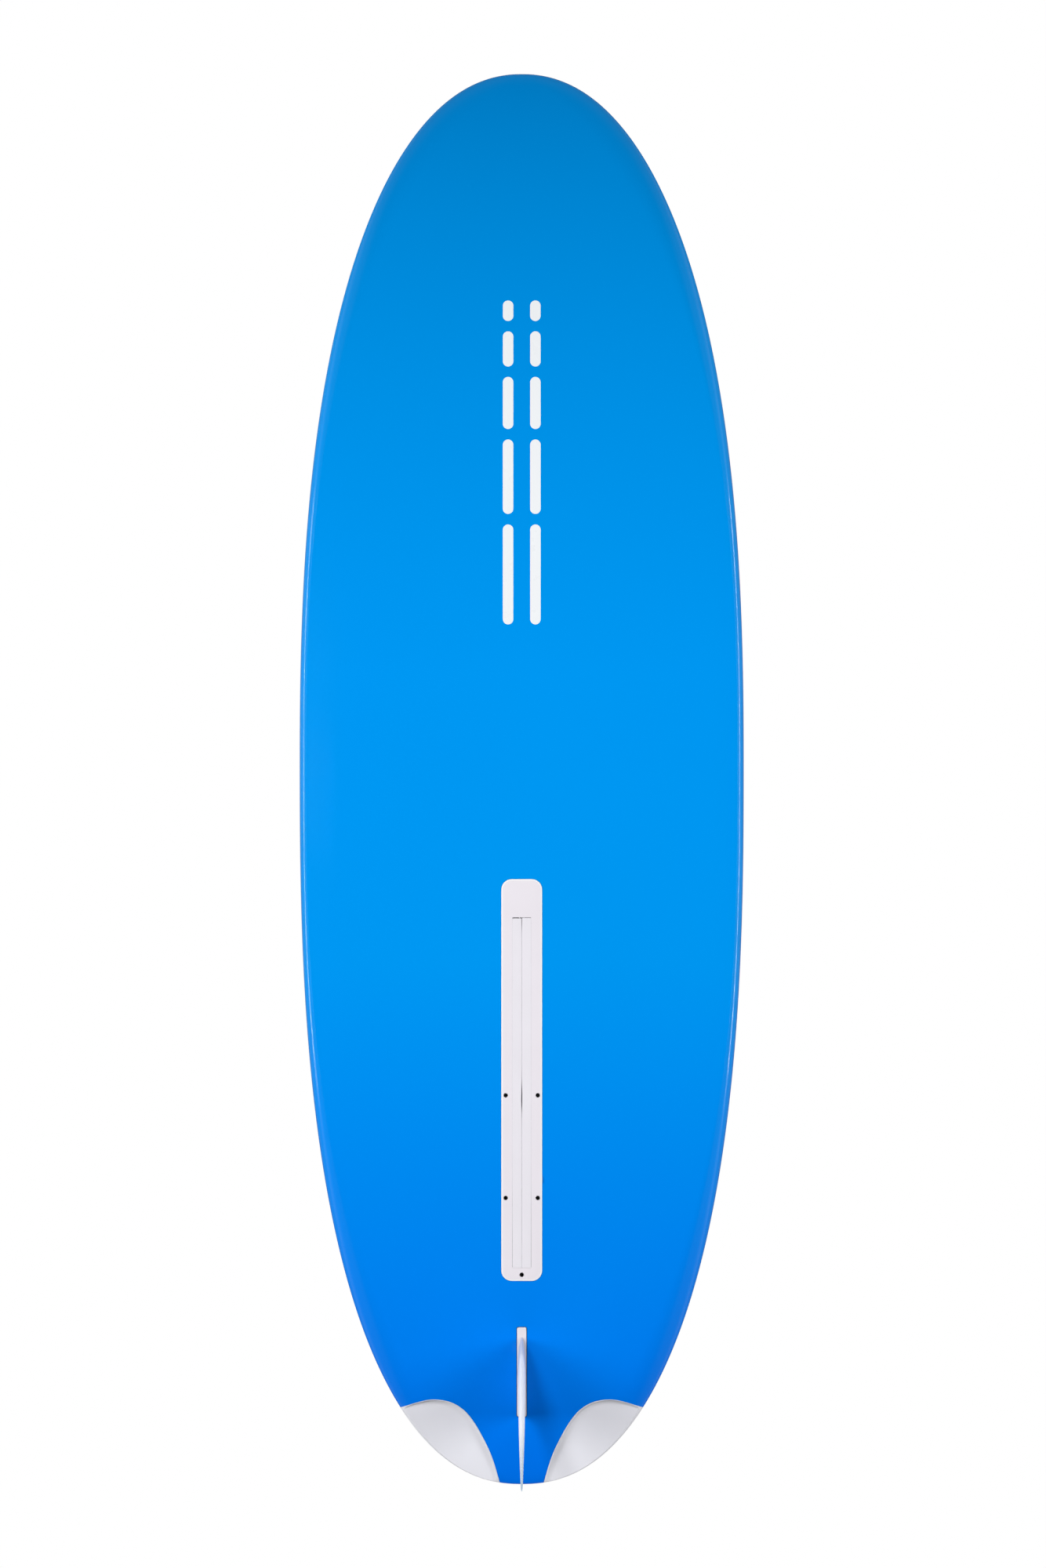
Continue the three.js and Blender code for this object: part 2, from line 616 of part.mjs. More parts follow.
function deckScrewPlaces() {
  const xs = [DECK_PLATE.front - DECK_SCREW.fromEnd, DECK_PLATE.back + DECK_SCREW.fromEnd];
  return xs.flatMap((x) => [[x, DECK_SCREW.aside], [x, -DECK_SCREW.aside]]);
}

function deckSlotPlate() {
  const plate = solid(planPlate(deckPlatePlan(0), DECK_PLATE.bottom, DECK_PLATE.top));
  return cut(
    plate,
    box(LEVER_SLOT.back, LEVER_SLOT.front, -LEVER_SLOT.half, LEVER_SLOT.half, UNDER_DECK, HIGH),
    ...deckScrewPlaces().flatMap(([x, y]) => [
      bore(PLATE_SCREW.neck, x, y, UNDER_DECK, HIGH),
      bore(PLATE_SCREW.head, x, y, DECK_PLATE.top - PLATE_SCREW_SINK.bore, HIGH),
    ]),
  );
}

// the blade lies aft in the well
function centreboardBlade() {
  const line = BLADE_LINE.map(([aft, up]) => new THREE.Vector2(PIVOT.x - aft, PIVOT.z + up));
  const outline = new THREE.Shape();
  outline.absarc(PIVOT.x, PIVOT.z, HEAD_RADIUS, -Math.PI / 2, Math.PI / 2);
  outline.lineTo(line[0].x, line[0].y);
  outline.splineThru(line.slice(1));
  const depth = 2 * (BLADE_HALF - BLADE_EDGE.thick);
  const blade = new THREE.ExtrudeGeometry(outline, {
    depth,
    bevelThickness: BLADE_EDGE.thick,
    bevelSize: BLADE_EDGE.wide,
    bevelOffset: -BLADE_EDGE.wide,
    bevelSegments: 2,
    curveSegments: 4,
  });
  blade.rotateX(Math.PI / 2).translate(0, depth / 2, 0);
  return cut(
    solid(blade),
    leverBar(LEVER.root - GAP, 2 * HEAD_RADIUS, LEVER.halfWide + GAP, LEVER.half + GAP),
    crossBore(PIVOT.radius, PIVOT.x, PIVOT.z, -ACROSS, ACROSS, PIVOT.sides),
    ...rivetPlaces().map(([x, z]) => crossBore(RIVET.radius, x, z, -ACROSS, ACROSS)),
  );
}

// a bar that points from the pivot along the lever, between two distances from it
function leverBar(from, to, halfWide, halfThick) {
  const { x, z } = PIVOT;
  return alongLever(box(x + from, x + to, -halfThick, halfThick, z - halfWide, z + halfWide));
}

function rivetPlaces() {
  const turn = THREE.MathUtils.degToRad(LEVER.angle);
  return [RIVET.aside, -RIVET.aside].map((aside) => [
    PIVOT.x + RIVET.along * Math.cos(turn) - aside * Math.sin(turn),
    PIVOT.z + RIVET.along * Math.sin(turn) + aside * Math.cos(turn),
  ]);
}

function centreboardLever() {
  const arm = join(
    leverBar(LEVER.root, LEVER.shoulder, LEVER.halfWide, LEVER.half),
    leverBar(LEVER.shoulder - LAP, LEVER.reach, LEVER.neckHalf, LEVER.half),
  );
  return cut(arm, ...rivetPlaces().map(([x, z]) => crossBore(RIVET.radius, x, z, -ACROSS, ACROSS)));
}

function leverGrip() {
  const x = PIVOT.x + LEVER.reach - GRIP.fromEnd;
  const knob = alongLever(crossRod(GRIP.radius, x, PIVOT.z, -GRIP.half, GRIP.half, 20));
  const socket = leverBar(LEVER.shoulder, LEVER.reach + GAP, LEVER.neckHalf + GAP, LEVER.half + GAP);
  return cut(solid(knob), socket);
}

// a bush in the well's side, with a collar that keeps the blade in the middle
function pivotBush(side) {
  const hole = PIVOT.radius + GAP;
  const body = PIVOT.radius + BUSH.wall;
  const end = WELL.half - BUSH.inset;
  const collarStart = BLADE_HALF + SIDE_PLAY;
  const collarEnd = WELL.inner - GAP;
  const ring = turned(
    [
      [hole, collarStart],
      [BUSH.collar, collarStart],
      [BUSH.collar, collarEnd],
      [body, collarEnd],
      [body, end],
      [hole, end],
      [hole, collarStart],
    ],
    PIVOT.sides,
  );
  return ring.rotateX(-Math.PI / 2).scale(1, side, 1).translate(PIVOT.x, 0, PIVOT.z);
}

function frictionPad(side) {
  const { half, top, bottom } = FRICTION_PAD;
  const near = BLADE_HALF + SIDE_PLAY;
  const pad = box(PIVOT.x - half, PIVOT.x + half, near, WELL.inner - GAP, PIVOT.z - bottom, PIVOT.z - top);
  return pad.scale(1, side, 1);
}

// ---------------------------------------------------------------- fin

// the fin's chord and half thickness at a share of its depth
function finChord(share) {
  const front = FIN.front + (FIN.tipFront - FIN.front) * share ** FIN_SWEEP;
  const sweep = (1 + FIN_HOLLOW) * share ** 2 - FIN_HOLLOW * share;
  const back = FIN_BASE.back + (FIN.tipBack - FIN_BASE.back) * sweep;
  const half = FIN_HALF.root + (FIN_HALF.tip - FIN_HALF.root) * share ** FIN_HALF.power;
  const closing = Math.sqrt(1 - FIN_TIP.closing * share ** FIN_TIP.power);
  const middle = back + (front - back) * FIN_TIP.middle;
  return [middle + (front - middle) * closing, middle + (back - middle) * closing, half];
}

function fin() {
  const sides = 14;
  const bladeRing = (share) => {
    const [front, back, half] = finChord(share);
    const z = FIN.root - (FIN.depth + FIN.root) * share;
    return Array.from({ length: sides }, (_, i) => {
      const turn = (i / sides) * 2 * Math.PI;
      const along = (1 + Math.cos(turn)) / 2; // 1 at the leading edge
      const full = FIN_SECTION.fill + (1 - FIN_SECTION.fill) * along ** FIN_SECTION.power;
      return new THREE.Vector3(back + (front - back) * along, Math.sin(turn) * full * half, z);
    });
  };
  const blade = lofted([0, ...towards(0, 1, 9)].map(bladeRing));
  const baseRing = (shrink, height) => {
    const plan = finBasePlan(-shrink).extractPoints(2).shape;
    return plan.map((p) => new THREE.Vector3(p.x, p.y, height(p.x)));
  };
  const base = lofted([
    baseRing(0, (x) => section(x).bottom - FIN_BASE.proud),
    baseRing(FIN_BASE.taper, () => FIN_BASE.height),
  ]);
  return cut(
    join(base, blade),
    bore(FIN_BOLT.radius, FIN_BOLT.x, 0, OVER_BOTTOM, OVER_CUTAWAYS),
    crossBore(FIN_NUT.radius, FIN_BOLT.x, FIN_NUT.z, -ACROSS, ACROSS),
  );
}

function finBox() {
  const deck = section(FIN_BOLT.x).deck;
  const whole = solid(planPlate(finBoxPlan(0), FIN_BOX.bottom, FIN_BOX.top)).add(
    solid(rod(BOSS.radius, FIN_BOLT.x, 0, FIN_BOX.top - LAP, deck, BOSS.sides)),
  );
  return cut(
    whole,
    planPlate(finBasePlan(GAP), LOW, FIN_BASE.height + GAP),
    bore(FIN_BOLT.radius, FIN_BOLT.x, 0, UNDER_TAIL_DECK, HIGH),
    rod(BOSS.recess, FIN_BOLT.x, 0, deck - BOSS.depth, HIGH, BOSS.sides),
  );
}

function finFasteners() {
  const { x, end, radius, head, height, drive, floor } = FIN_BOLT;
  const seat = section(x).deck - BOSS.depth + GAP;
  const washerTop = seat + FIN_WASHER.thick;
  const under = washerTop + GAP;
  const hole = bore(radius, x, 0, LOW, HIGH);
  const washer = cut(solid(rod(FIN_WASHER.radius, x, 0, seat, washerTop)), hole);
  const bolt = join(rod(radius, x, 0, end, under + LAP), rod(head, x, 0, under, under + height));
  const socket = rod(drive, x, 0, under + floor, HIGH, 6);
  const nut = cut(solid(crossRod(FIN_NUT.radius, x, FIN_NUT.z, -FIN_NUT.half, FIN_NUT.half)), hole);
  place("fin_washer", washer, MATERIALS.steel);
  place("fin_bolt", cut(bolt, socket), MATERIALS.steel);
  place("fin_barrel_nut", nut, MATERIALS.brass);
}

// ---------------------------------------------------------------- mast track, vent and straps

function mastTrack() {
  const flangeBottom = TRACK.top - SKIN - GAP;
  const body = solid(planPlate(trackPlan(0, TRACK.half), flangeBottom, TRACK.top)).add(
    solid(planPlate(trackPlan(0, TRACK.bodyHalf), TRACK.bottom, flangeBottom + LAP)),
  );
  const back = TRACK.back + TRACK_SLOT.end;
  const front = TRACK.front - TRACK_SLOT.end;
  const lipBottom = TRACK.top - TRACK_SLOT.lip;
  const wide = TRACK_SLOT.channelHalf;
  return cut(
    body,
    box(back, front, -TRACK_SLOT.half, TRACK_SLOT.half, lipBottom - LAP, HIGH),
    box(back, front, -wide, wide, TRACK.top - TRACK_SLOT.depth, lipBottom),
    box(front - TRACK_SLOT.entry, front, -wide, wide, lipBottom - LAP, HIGH),
  );
}

function vent() {
  const { x, radius, depth } = VENT;
  const { slotReach, slotHalf } = VENT_SCREW;
  const top = section(x).deck;
  const bottom = top - depth;
  const seat = top - VENT.seat;
  const hole = VENT_SCREW.radius + GAP;
  const recess = VENT_SCREW.head + GAP;
  const sides = 20;
  const socket = turned(
    [
      [hole, bottom],
      [radius, bottom],
      [radius, top],
      [recess, top],
      [recess, seat],
      [hole, seat],
      [hole, bottom],
    ],
    sides,
  ).translate(x, 0, 0);
  const ring = new THREE.TorusGeometry(hole + VENT_RING.inside + VENT_RING.thick, VENT_RING.thick, 6, sides);
  ring.translate(x, 0, seat + VENT_RING.lift + VENT_RING.thick);
  const head = seat + 2 * VENT_RING.thick + VENT_RING.room;
  const screw = cut(
    join(
      rod(VENT_SCREW.radius, x, 0, top - VENT_SCREW.end, head + LAP, sides),
      rod(VENT_SCREW.head, x, 0, head, head + VENT_SCREW.height, sides),
    ),
    box(x - slotReach, x + slotReach, -slotHalf, slotHalf, head + VENT_SCREW.slotFloor, HIGH),
  );
  place("vent_socket", socket, MATERIALS.blackPlastic);
  place("vent_o_ring", ring, MATERIALS.rubber);
  place("vent_screw", screw, MATERIALS.steel);
}

// strap pieces are made in the strap's own frame: X along it, Z out of the deck from the deck's surface
const FOOT_BOTTOM = PAD.lift + PAD.thickness + STRAP_LIFT;
const FOOT_TOP = FOOT_BOTTOM + STRAP.footThick;

function footstrap() {
  const shape = new THREE.Shape();
  const arch = (half, rise, base, forwards) => {
    const steps = 10;
    for (let i = 0; i <= steps; i++) {
      const turn = (forwards ? i / steps : 1 - i / steps) * Math.PI;
      const x = -half * Math.sign(Math.cos(turn)) * Math.abs(Math.cos(turn)) ** ARCH_POWER;
      shape.lineTo(x, base + rise * Math.sin(turn) ** ARCH_POWER);
    }
  };
  shape.moveTo(-STRAP.footHalf, FOOT_BOTTOM);
  arch(STRAP.half, STRAP.rise, FOOT_BOTTOM, true);
  shape.lineTo(STRAP.footHalf, FOOT_BOTTOM);
  shape.lineTo(STRAP.footHalf, FOOT_TOP);
  arch(STRAP.half + STRAP.thick, STRAP.rise + STRAP.thick - STRAP.footThick, FOOT_TOP, false);
  shape.lineTo(-STRAP.footHalf, FOOT_TOP);
  const band = solid(sidePlate(shape, -STRAP.halfWidth, STRAP.halfWidth));
  return cut(band, ...endBores(STRAP_SCREW.radius, 0));
}

function strapScrew() {
  const seat = FOOT_TOP + GAP;
  const { radius, end, head, height, drive, floor } = STRAP_SCREW;
  const body = turned([
    [0, -end - LAP],
    [radius, -end],
    [radius, seat],
    [head, seat],
    [STRAP_SCREW_DOME.foot, seat + STRAP_SCREW_DOME.rise],
    [STRAP_SCREW_DOME.top, seat + height],
    [0, seat + height],
  ]);
  return cut(solid(body), rod(drive, 0, 0, seat + floor, STRAP_CUT, 6));
}

function strapPlug() {
  const { radius, top, bottom, floor } = PLUG;
  const hole = STRAP_SCREW.radius + GAP;
  return turned([
    [0, bottom],
    [radius, bottom],
    [radius, top],
    [hole, top],
    [hole, bottom + floor],
    [0, bottom + floor],
  ]);
}

// ---------------------------------------------------------------- assembly

place("bottom_shell", bottomShell(), MATERIALS.hullBlue);
place("deck_shell", deckShell(), MATERIALS.deckWhite);
place("foam_core", foamCore(), MATERIALS.foam);
place("tail_cutaway_port", tailCutaway(1), MATERIALS.panelGrey);
place("tail_cutaway_starboard", tailCutaway(-1), MATERIALS.panelGrey);

place("centreboard_case", centreboardCase(), MATERIALS.blackPlastic);
place("bottom_slot_plate", bottomSlotPlate(), MATERIALS.plateWhite);
place("slot_lip_port", slotLip(1), MATERIALS.lipWhite);
place("slot_lip_starboard", slotLip(-1), MATERIALS.lipWhite);
PLATE_SCREWS.forEach(([x, y], i) => {
  const frame = new THREE.Matrix4().makeTranslation(x, y, SLOT_PLATE.bottom + PLATE_SCREW_SINK.head);
  place(`slot_plate_screw_${i + 1}`, plateScrew(), MATERIALS.steel, frame);
});
place("deck_slot_plate", deckSlotPlate(), MATERIALS.blackPlastic);
deckScrewPlaces().forEach(([x, y], i) => {
  const frame = new THREE.Matrix4().makeTranslation(x, y, DECK_PLATE.top - PLATE_SCREW_SINK.head);
  frame.multiply(new THREE.Matrix4().makeRotationX(Math.PI));
  place(`deck_plate_screw_${i + 1}`, plateScrew(), MATERIALS.steel, frame);
});

place("centreboard_blade", centreboardBlade(), MATERIALS.bladeGrey);
place("centreboard_lever", centreboardLever(), MATERIALS.steel);
place("lever_grip", leverGrip(), MATERIALS.rubber);
rivetPlaces().forEach(([x, z], i) => {
  const rivet = crossRod(RIVET.radius, x, z, RIVET.inset - BLADE_HALF, BLADE_HALF - RIVET.inset);
  place(i ? "lever_rivet_lower" : "lever_rivet_upper", rivet, MATERIALS.steel);
});
const pin = crossRod(PIVOT.radius, PIVOT.x, PIVOT.z, -WELL.half, WELL.half, PIVOT.sides);
place("pivot_pin", pin, MATERIALS.steel);
place("pivot_bush_port", pivotBush(1), MATERIALS.plateWhite);
place("pivot_bush_starboard", pivotBush(-1), MATERIALS.plateWhite);
place("friction_pad_port", frictionPad(1), MATERIALS.rubber);
place("friction_pad_starboard", frictionPad(-1), MATERIALS.rubber);

place("fin_box", finBox(), MATERIALS.blackPlastic);
place("fin", fin(), MATERIALS.finWhite);
finFasteners();
place("mast_track", mastTrack(), MATERIALS.blackPlastic);
vent();

place("deck_pad", deckPad(), MATERIALS.padGrey);
STRAPS.forEach((strap) => {
  const frame = strapFrame(strap);
  place(`footstrap_${strap.name}`, footstrap(), MATERIALS.webbing, frame);
  ["front", "back"].forEach((end, i) => {
    const at = new THREE.Matrix4().makeTranslation(i ? -STRAP.holeAt : STRAP.holeAt, 0, 0).premultiply(frame);
    place(`strap_screw_${strap.name}_${end}`, strapScrew(), MATERIALS.steel, at);
    place(`strap_plug_${strap.name}_${end}`, strapPlug(), MATERIALS.blackPlastic, at);
  });
});

export default board;
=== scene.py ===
import math

import bmesh
import bpy
import numpy as np
from mathutils import Matrix, Vector


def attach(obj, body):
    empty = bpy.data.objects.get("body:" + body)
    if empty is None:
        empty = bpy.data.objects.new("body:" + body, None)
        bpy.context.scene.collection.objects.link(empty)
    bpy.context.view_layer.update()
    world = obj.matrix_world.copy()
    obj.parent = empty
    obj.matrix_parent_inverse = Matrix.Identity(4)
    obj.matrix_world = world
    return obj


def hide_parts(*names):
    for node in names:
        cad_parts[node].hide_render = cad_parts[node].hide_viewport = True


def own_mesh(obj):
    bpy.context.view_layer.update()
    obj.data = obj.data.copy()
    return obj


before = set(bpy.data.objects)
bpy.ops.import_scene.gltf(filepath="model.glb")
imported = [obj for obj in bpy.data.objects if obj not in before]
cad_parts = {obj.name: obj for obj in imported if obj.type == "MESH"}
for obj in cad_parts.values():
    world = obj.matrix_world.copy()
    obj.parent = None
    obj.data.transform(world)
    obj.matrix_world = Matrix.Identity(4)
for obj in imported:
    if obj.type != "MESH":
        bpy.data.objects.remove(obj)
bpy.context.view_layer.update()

# The looks of a windsurf board. Lengths are millimetres in the CAD's frame, and meshes are made in metres.
# +X points to the nose, +Y to port and +Z up out of the deck. Lamps and the camera are placed in metres.

MM = 0.001

# ---- hull formulas, the same as the CAD's

NOSE_X = 1372
TAIL_X = -1345
WIDEST_X = 28
HALF_WIDTH = 424.5
NOSE_POWERS = (2.434, 2.152)
TAIL_POWERS = (2.604, 2.262)
THICKEST = 128
NOSE_THINNING = (180, 88, 1.9)
TAIL_THINNING = (-470, 84, 2)
NOSE_ROCKER = (400, 175, 2.4)
TAIL_ROCKER = (-960, 14, 2)
CLOSING_FROM = 0.72
CLOSING_POWER = 4
RAIL_SHARE = 0.42
SEAM_SHARE = 0.08
DECK_POWER = 3.1
DECK_EDGE_SHARE = 0.97  # nearer the rail than this, the deck's height is held
TUCK_MIDDLE = 16
TUCK_GROWTH = 100
SKIN = 6
GAP = 0.3
SEAM_ROUNDING = 1.4
TIP_SHARE = 0.99998
HOLLOW_SHARE = 0.98


def end_share(x):
    return (x - WIDEST_X) / (NOSE_X - WIDEST_X) if x > WIDEST_X else (WIDEST_X - x) / (WIDEST_X - TAIL_X)


def past(x, start, end):
    return max(0.0, (x - start) / (end - start))


def half_width(x):
    along, across = NOSE_POWERS if x > WIDEST_X else TAIL_POWERS
    return HALF_WIDTH * max(0.0, 1 - end_share(x) ** along) ** (1 / across)


def bend(x, nose, tail):
    """How much a nose term and a tail term, each (start, amount, power), add up to at x."""
    ahead = nose[1] * past(x, nose[0], NOSE_X) ** nose[2]
    behind = tail[1] * past(x, tail[0], TAIL_X) ** tail[2]
    return ahead + behind


class Section:
    """Heights and widths of the hull at x."""

    def __init__(self, x):
        t = end_share(x)
        full = THICKEST - bend(x, NOSE_THINNING, TAIL_THINNING)
        closing = math.sqrt(max(0.0, 1 - max(0.0, (t - CLOSING_FROM) / (1 - CLOSING_FROM)) ** CLOSING_POWER))
        thickness = full * closing
        self.half = half_width(x)
        self.rail = bend(x, NOSE_ROCKER, TAIL_ROCKER) + RAIL_SHARE * full
        self.bottom = self.rail - RAIL_SHARE * thickness
        self.seam = self.rail + SEAM_SHARE * thickness
        self.deck = self.rail + (1 - RAIL_SHARE) * thickness
        self.flat = self.half * math.exp(-(TUCK_MIDDLE + TUCK_GROWTH * t**3) / self.half)


def deck_height(x, y):
    s = Section(x)
    share = min(abs(y) / s.half, DECK_EDGE_SHARE)
    return s.rail + (s.deck - s.rail) * (1 - share**DECK_POWER) ** (1 / DECK_POWER)


def bottom_height(x, y):
    s = Section(x)
    if abs(y) <= s.flat:
        return s.bottom
    share = min(1.0, (abs(y) - s.flat) / (s.half - s.flat))
    return s.rail - (s.rail - s.bottom) * math.sqrt(1 - share**2)


def lower_half(x, offset=0.0, steps=20, flat_steps=6):
    """Half of the underside from the widest line in to the centre, as (y, z)."""
    s = Section(x)
    points = []
    for i in range(steps, -1, -1):
        turn = i / steps * math.pi / 2
        y = s.flat + (s.half + offset - s.flat) * math.sin(turn)
        points.append((y, s.rail - (s.rail - s.bottom + offset) * math.cos(turn)))
    for i in range(flat_steps - 1, -1, -1):
        points.append((s.flat * i / flat_steps, s.bottom - offset))
    return points


def upper_half(x, offset=0.0, steps=34):
    """Half of the deck from the seam in to the centre, as (y, z)."""
    s = Section(x)
    height = s.deck - s.rail + offset
    start = math.asin(min(1.0, max(0.0, (s.seam - s.rail) / height)) ** (DECK_POWER / 2))
    points = []
    for i in range(steps):
        turn = start + i / steps * (math.pi / 2 - start)
        y = (s.half + offset) * math.cos(turn) ** (2 / DECK_POWER)
        points.append((y, s.rail + height * math.sin(turn) ** (2 / DECK_POWER)))
    points.append((0.0, s.rail + height))
    return points


def across(half):
    return half + [(-y, z) for y, z in reversed(half)][1:]


def seam_edge(x, side):
    """The rounded edge of a skin at the seam, as (y, z): the deck's for side 1, the bottom's for side -1."""
    edge = upper_half(x)[0][0]
    height = Section(x).seam + side * GAP / 2
    rounding = min(SEAM_ROUNDING, 0.2 * edge)
    part = 0.3 * rounding
    return [(edge - rounding, height), (edge - part, height + side * part), (edge, height + side * rounding)]


def underside(x):
    return across(seam_edge(x, -1) + lower_half(x))


def deckside(x):
    return across(seam_edge(x, 1)[:-1] + upper_half(x)[1:])


def stations(limit, count=96):
    """Places along the hull, close together at the tips where the outline turns fast."""
    reach = math.asin(limit)
    shares = [math.sin(reach * i / count) for i in range(count + 1)]
    tail = [WIDEST_X - s * (WIDEST_X - TAIL_X) for s in reversed(shares)]
    return tail + [WIDEST_X + s * (NOSE_X - WIDEST_X) for s in shares[1:]]


# ---- mesh tools


def new_object(name, vertices, faces):
    mesh = bpy.data.meshes.new(name)
    mesh.from_pydata((np.asarray(vertices, float) * MM).tolist(), [], faces)
    work = bmesh.new()
    work.from_mesh(mesh)
    bmesh.ops.recalc_face_normals(work, faces=work.faces)
    work.to_mesh(mesh)
    work.free()
    obj = bpy.data.objects.new(name, mesh)
    bpy.context.scene.collection.objects.link(obj)
    return obj


def tube_faces(rings, count, start=0, loop=False):
    """Faces of a tube through rings of count points, numbered from start. It has caps unless it loops."""
    faces = []
    for k in range(rings if loop else rings - 1):
        a, b = start + k * count, start + (k + 1) % rings * count
        for i in range(count):
            j = (i + 1) % count
            faces.append((a + i, a + j, b + j, b + i))
    if not loop:
        faces.append(tuple(range(start, start + count)))
        faces.append(tuple(range(start + (rings - 1) * count, start + rings * count)))
    return faces


def loft(name, rings, loop=False):
    """A closed body through rings of equally many points."""
    faces = tube_faces(len(rings), len(rings[0]), 0, loop)
    return new_object(name, [p for ring in rings for p in ring], faces)


def hull_loft(name, places, ring):
    return loft(name, [[(x, y, z) for y, z in ring(x)] for x in places])


def stack(name, outline, levels):
    """A body whose plan is outline(grow) at each level (grow, height); a height may depend on x and y."""
    rings = []
    for grow, height in levels:
        at = height if callable(height) else lambda x, y, h=height: h
        rings.append([(x, y, at(x, y)) for x, y in outline(grow)])
    return loft(name, rings)


def circle(sides):
    """Cosines and sines of evenly spaced turns."""
    turns = (2 * math.pi * i / sides for i in range(sides))
    return [(math.cos(a), math.sin(a)) for a in turns]


def lathe(name, profile, sides=56):
    """A turned body about Z through points (radius, height). Off the axis, the profile is a closed ring."""
    around = circle(sides)
    rings = [[(r * c, r * s, height) for c, s in around] for r, height in profile if r > 0]
    return loft(name, rings, loop=profile[0][0] > 0)


def pin(name, radius, half, chamfer=0.6):
    """A turned pin about Z with chamfered ends."""
    end = [(radius, half - chamfer), (radius - chamfer, half), (0, half)]
    return lathe(name, [(r, -z) for r, z in reversed(end)] + end)


def box(name, x0, x1, y0, y1, z0, z1):
    return stack(name, lambda grow: [(x0, y0), (x1, y0), (x1, y1), (x0, y1)], [(0, z0), (0, z1)])


def rod(radius, x, y, z0, z1, sides=48):
    return place(lathe("cutter", [(0, z0), (radius, z0), (radius, z1), (0, z1)], sides), (x, y, 0))


def place(obj, at=(0, 0, 0), turn=None):
    """Moves the mesh itself, so that each object stays at the origin."""
    matrix = Matrix.Translation(Vector(at) * MM)
    if turn is not None:
        matrix = matrix @ turn.to_4x4()
    obj.data.transform(matrix)
    if matrix.determinant() < 0:
        obj.data.flip_normals()
    return obj


# turn a body's own Z axis across the board
TO_PORT = Matrix.Rotation(-math.pi / 2, 3, "X")
TO_STARBOARD = Matrix.Rotation(math.pi / 2, 3, "X")


def bake(obj):
    """Applies the object's modifiers."""
    graph = bpy.context.evaluated_depsgraph_get()
    made = bpy.data.meshes.new_from_object(obj.evaluated_get(graph))
    obj.modifiers.clear()
    old = obj.data
    obj.data = made
    bpy.data.meshes.remove(old)
    return obj


def combine(obj, operation, *tools):
    for tool in tools:
        modifier = obj.modifiers.new("combine", "BOOLEAN")
        modifier.operation = operation
        modifier.solver = "MANIFOLD"
        modifier.object = tool
        bake(obj)
        bpy.data.objects.remove(tool)
    return obj


def cut(obj, *tools):
    return combine(obj, "DIFFERENCE", *tools)


def join(obj, *tools):
    return combine(obj, "UNION", *tools)


def rounded_rectangle(back, front, half, radius, steps=14):
    """Outline function of a rectangle with round corners."""

    def outline(grow):
        r = max(0.05, radius + grow)
        b, f, h = back - grow, front + grow, half + grow
        corners = [(f - r, -h + r, -90), (f - r, h - r, 0), (b + r, h - r, 90), (b + r, -h + r, 180)]
        points = []
        for cx, cy, start in corners:
            for i in range(steps + 1):
                a = math.radians(start + 90 * i / steps)
                points.append((cx + r * math.cos(a), cy + r * math.sin(a)))
        return points

    return outline


def smooth_line(points, steps):
    """A Catmull-Rom curve through all but the first and last points, without its own last point."""
    curve = []
    for p0, p1, p2, p3 in zip(points, points[1:], points[2:], points[3:]):
        for i in range(steps):
            t = i / steps
            curve.append(tuple(
                0.5 * (2 * b + (c - a) * t + (2 * a - 5 * b + 4 * c - d) * t**2
                       + (3 * b - a - 3 * c + d) * t**3)
                for a, b, c, d in zip(p0, p1, p2, p3)))
    return curve


def grown(points, grow):
    """A closed outline moved outwards along its own normals."""
    ring = np.array(points, float)
    tangent = np.roll(ring, -1, axis=0) - np.roll(ring, 1, axis=0)
    tangent /= np.linalg.norm(tangent, axis=1)[:, None]
    x, y = ring[:, 0], ring[:, 1]
    area = np.sum(x * np.roll(y, -1) - np.roll(x, -1) * y)
    normal = np.stack([tangent[:, 1], -tangent[:, 0]], axis=1) * (1 if area > 0 else -1)
    return [tuple(p) for p in ring + normal * grow]


# ---- materials


def linear(red, green, blue):
    def one(c):
        c /= 255
        return c / 12.92 if c <= 0.04045 else ((c + 0.055) / 1.055) ** 2.4

    return (one(red), one(green), one(blue), 1.0)


def shade(color, factor):
    return tuple(c * factor for c in color[:3]) + (1.0,)


class Nodes:
    """Short ways to add and link the nodes of a material or a world."""

    def __init__(self, tree):
        self.tree = tree

    def link(self, source, target):
        self.tree.links.new(source, target)

    def node(self, kind, inputs=None, **settings):
        """Adds a node. Each input is a plain value or another node's output."""
        made = self.tree.nodes.new("ShaderNode" + kind)
        for key, value in settings.items():
            setattr(made, key, value)
        for key, value in (inputs or {}).items():
            if isinstance(value, bpy.types.NodeSocket):
                self.link(value, made.inputs[key])
            else:
                made.inputs[key].default_value = value
        return made

    def parts(self, vector):
        """The X, Y and Z outputs of a vector."""
        return self.node("SeparateXYZ", {"Vector": vector}).outputs

    def range(self, value, low, high, start=0.0, end=1.0):
        """Maps start to low and end to high, and holds the value outside them."""
        limits = {"From Min": start, "From Max": end, "To Min": low, "To Max": high}
        return self.node("MapRange", {"Value": value, **limits}).outputs["Result"]

    def calculate(self, operation, *values):
        return self.node("Math", dict(enumerate(values)), operation=operation).outputs["Value"]

    def mix_shaders(self, factor, first, second):
        return self.node("MixShader", {0: factor, 1: first, 2: second}).outputs["Shader"]


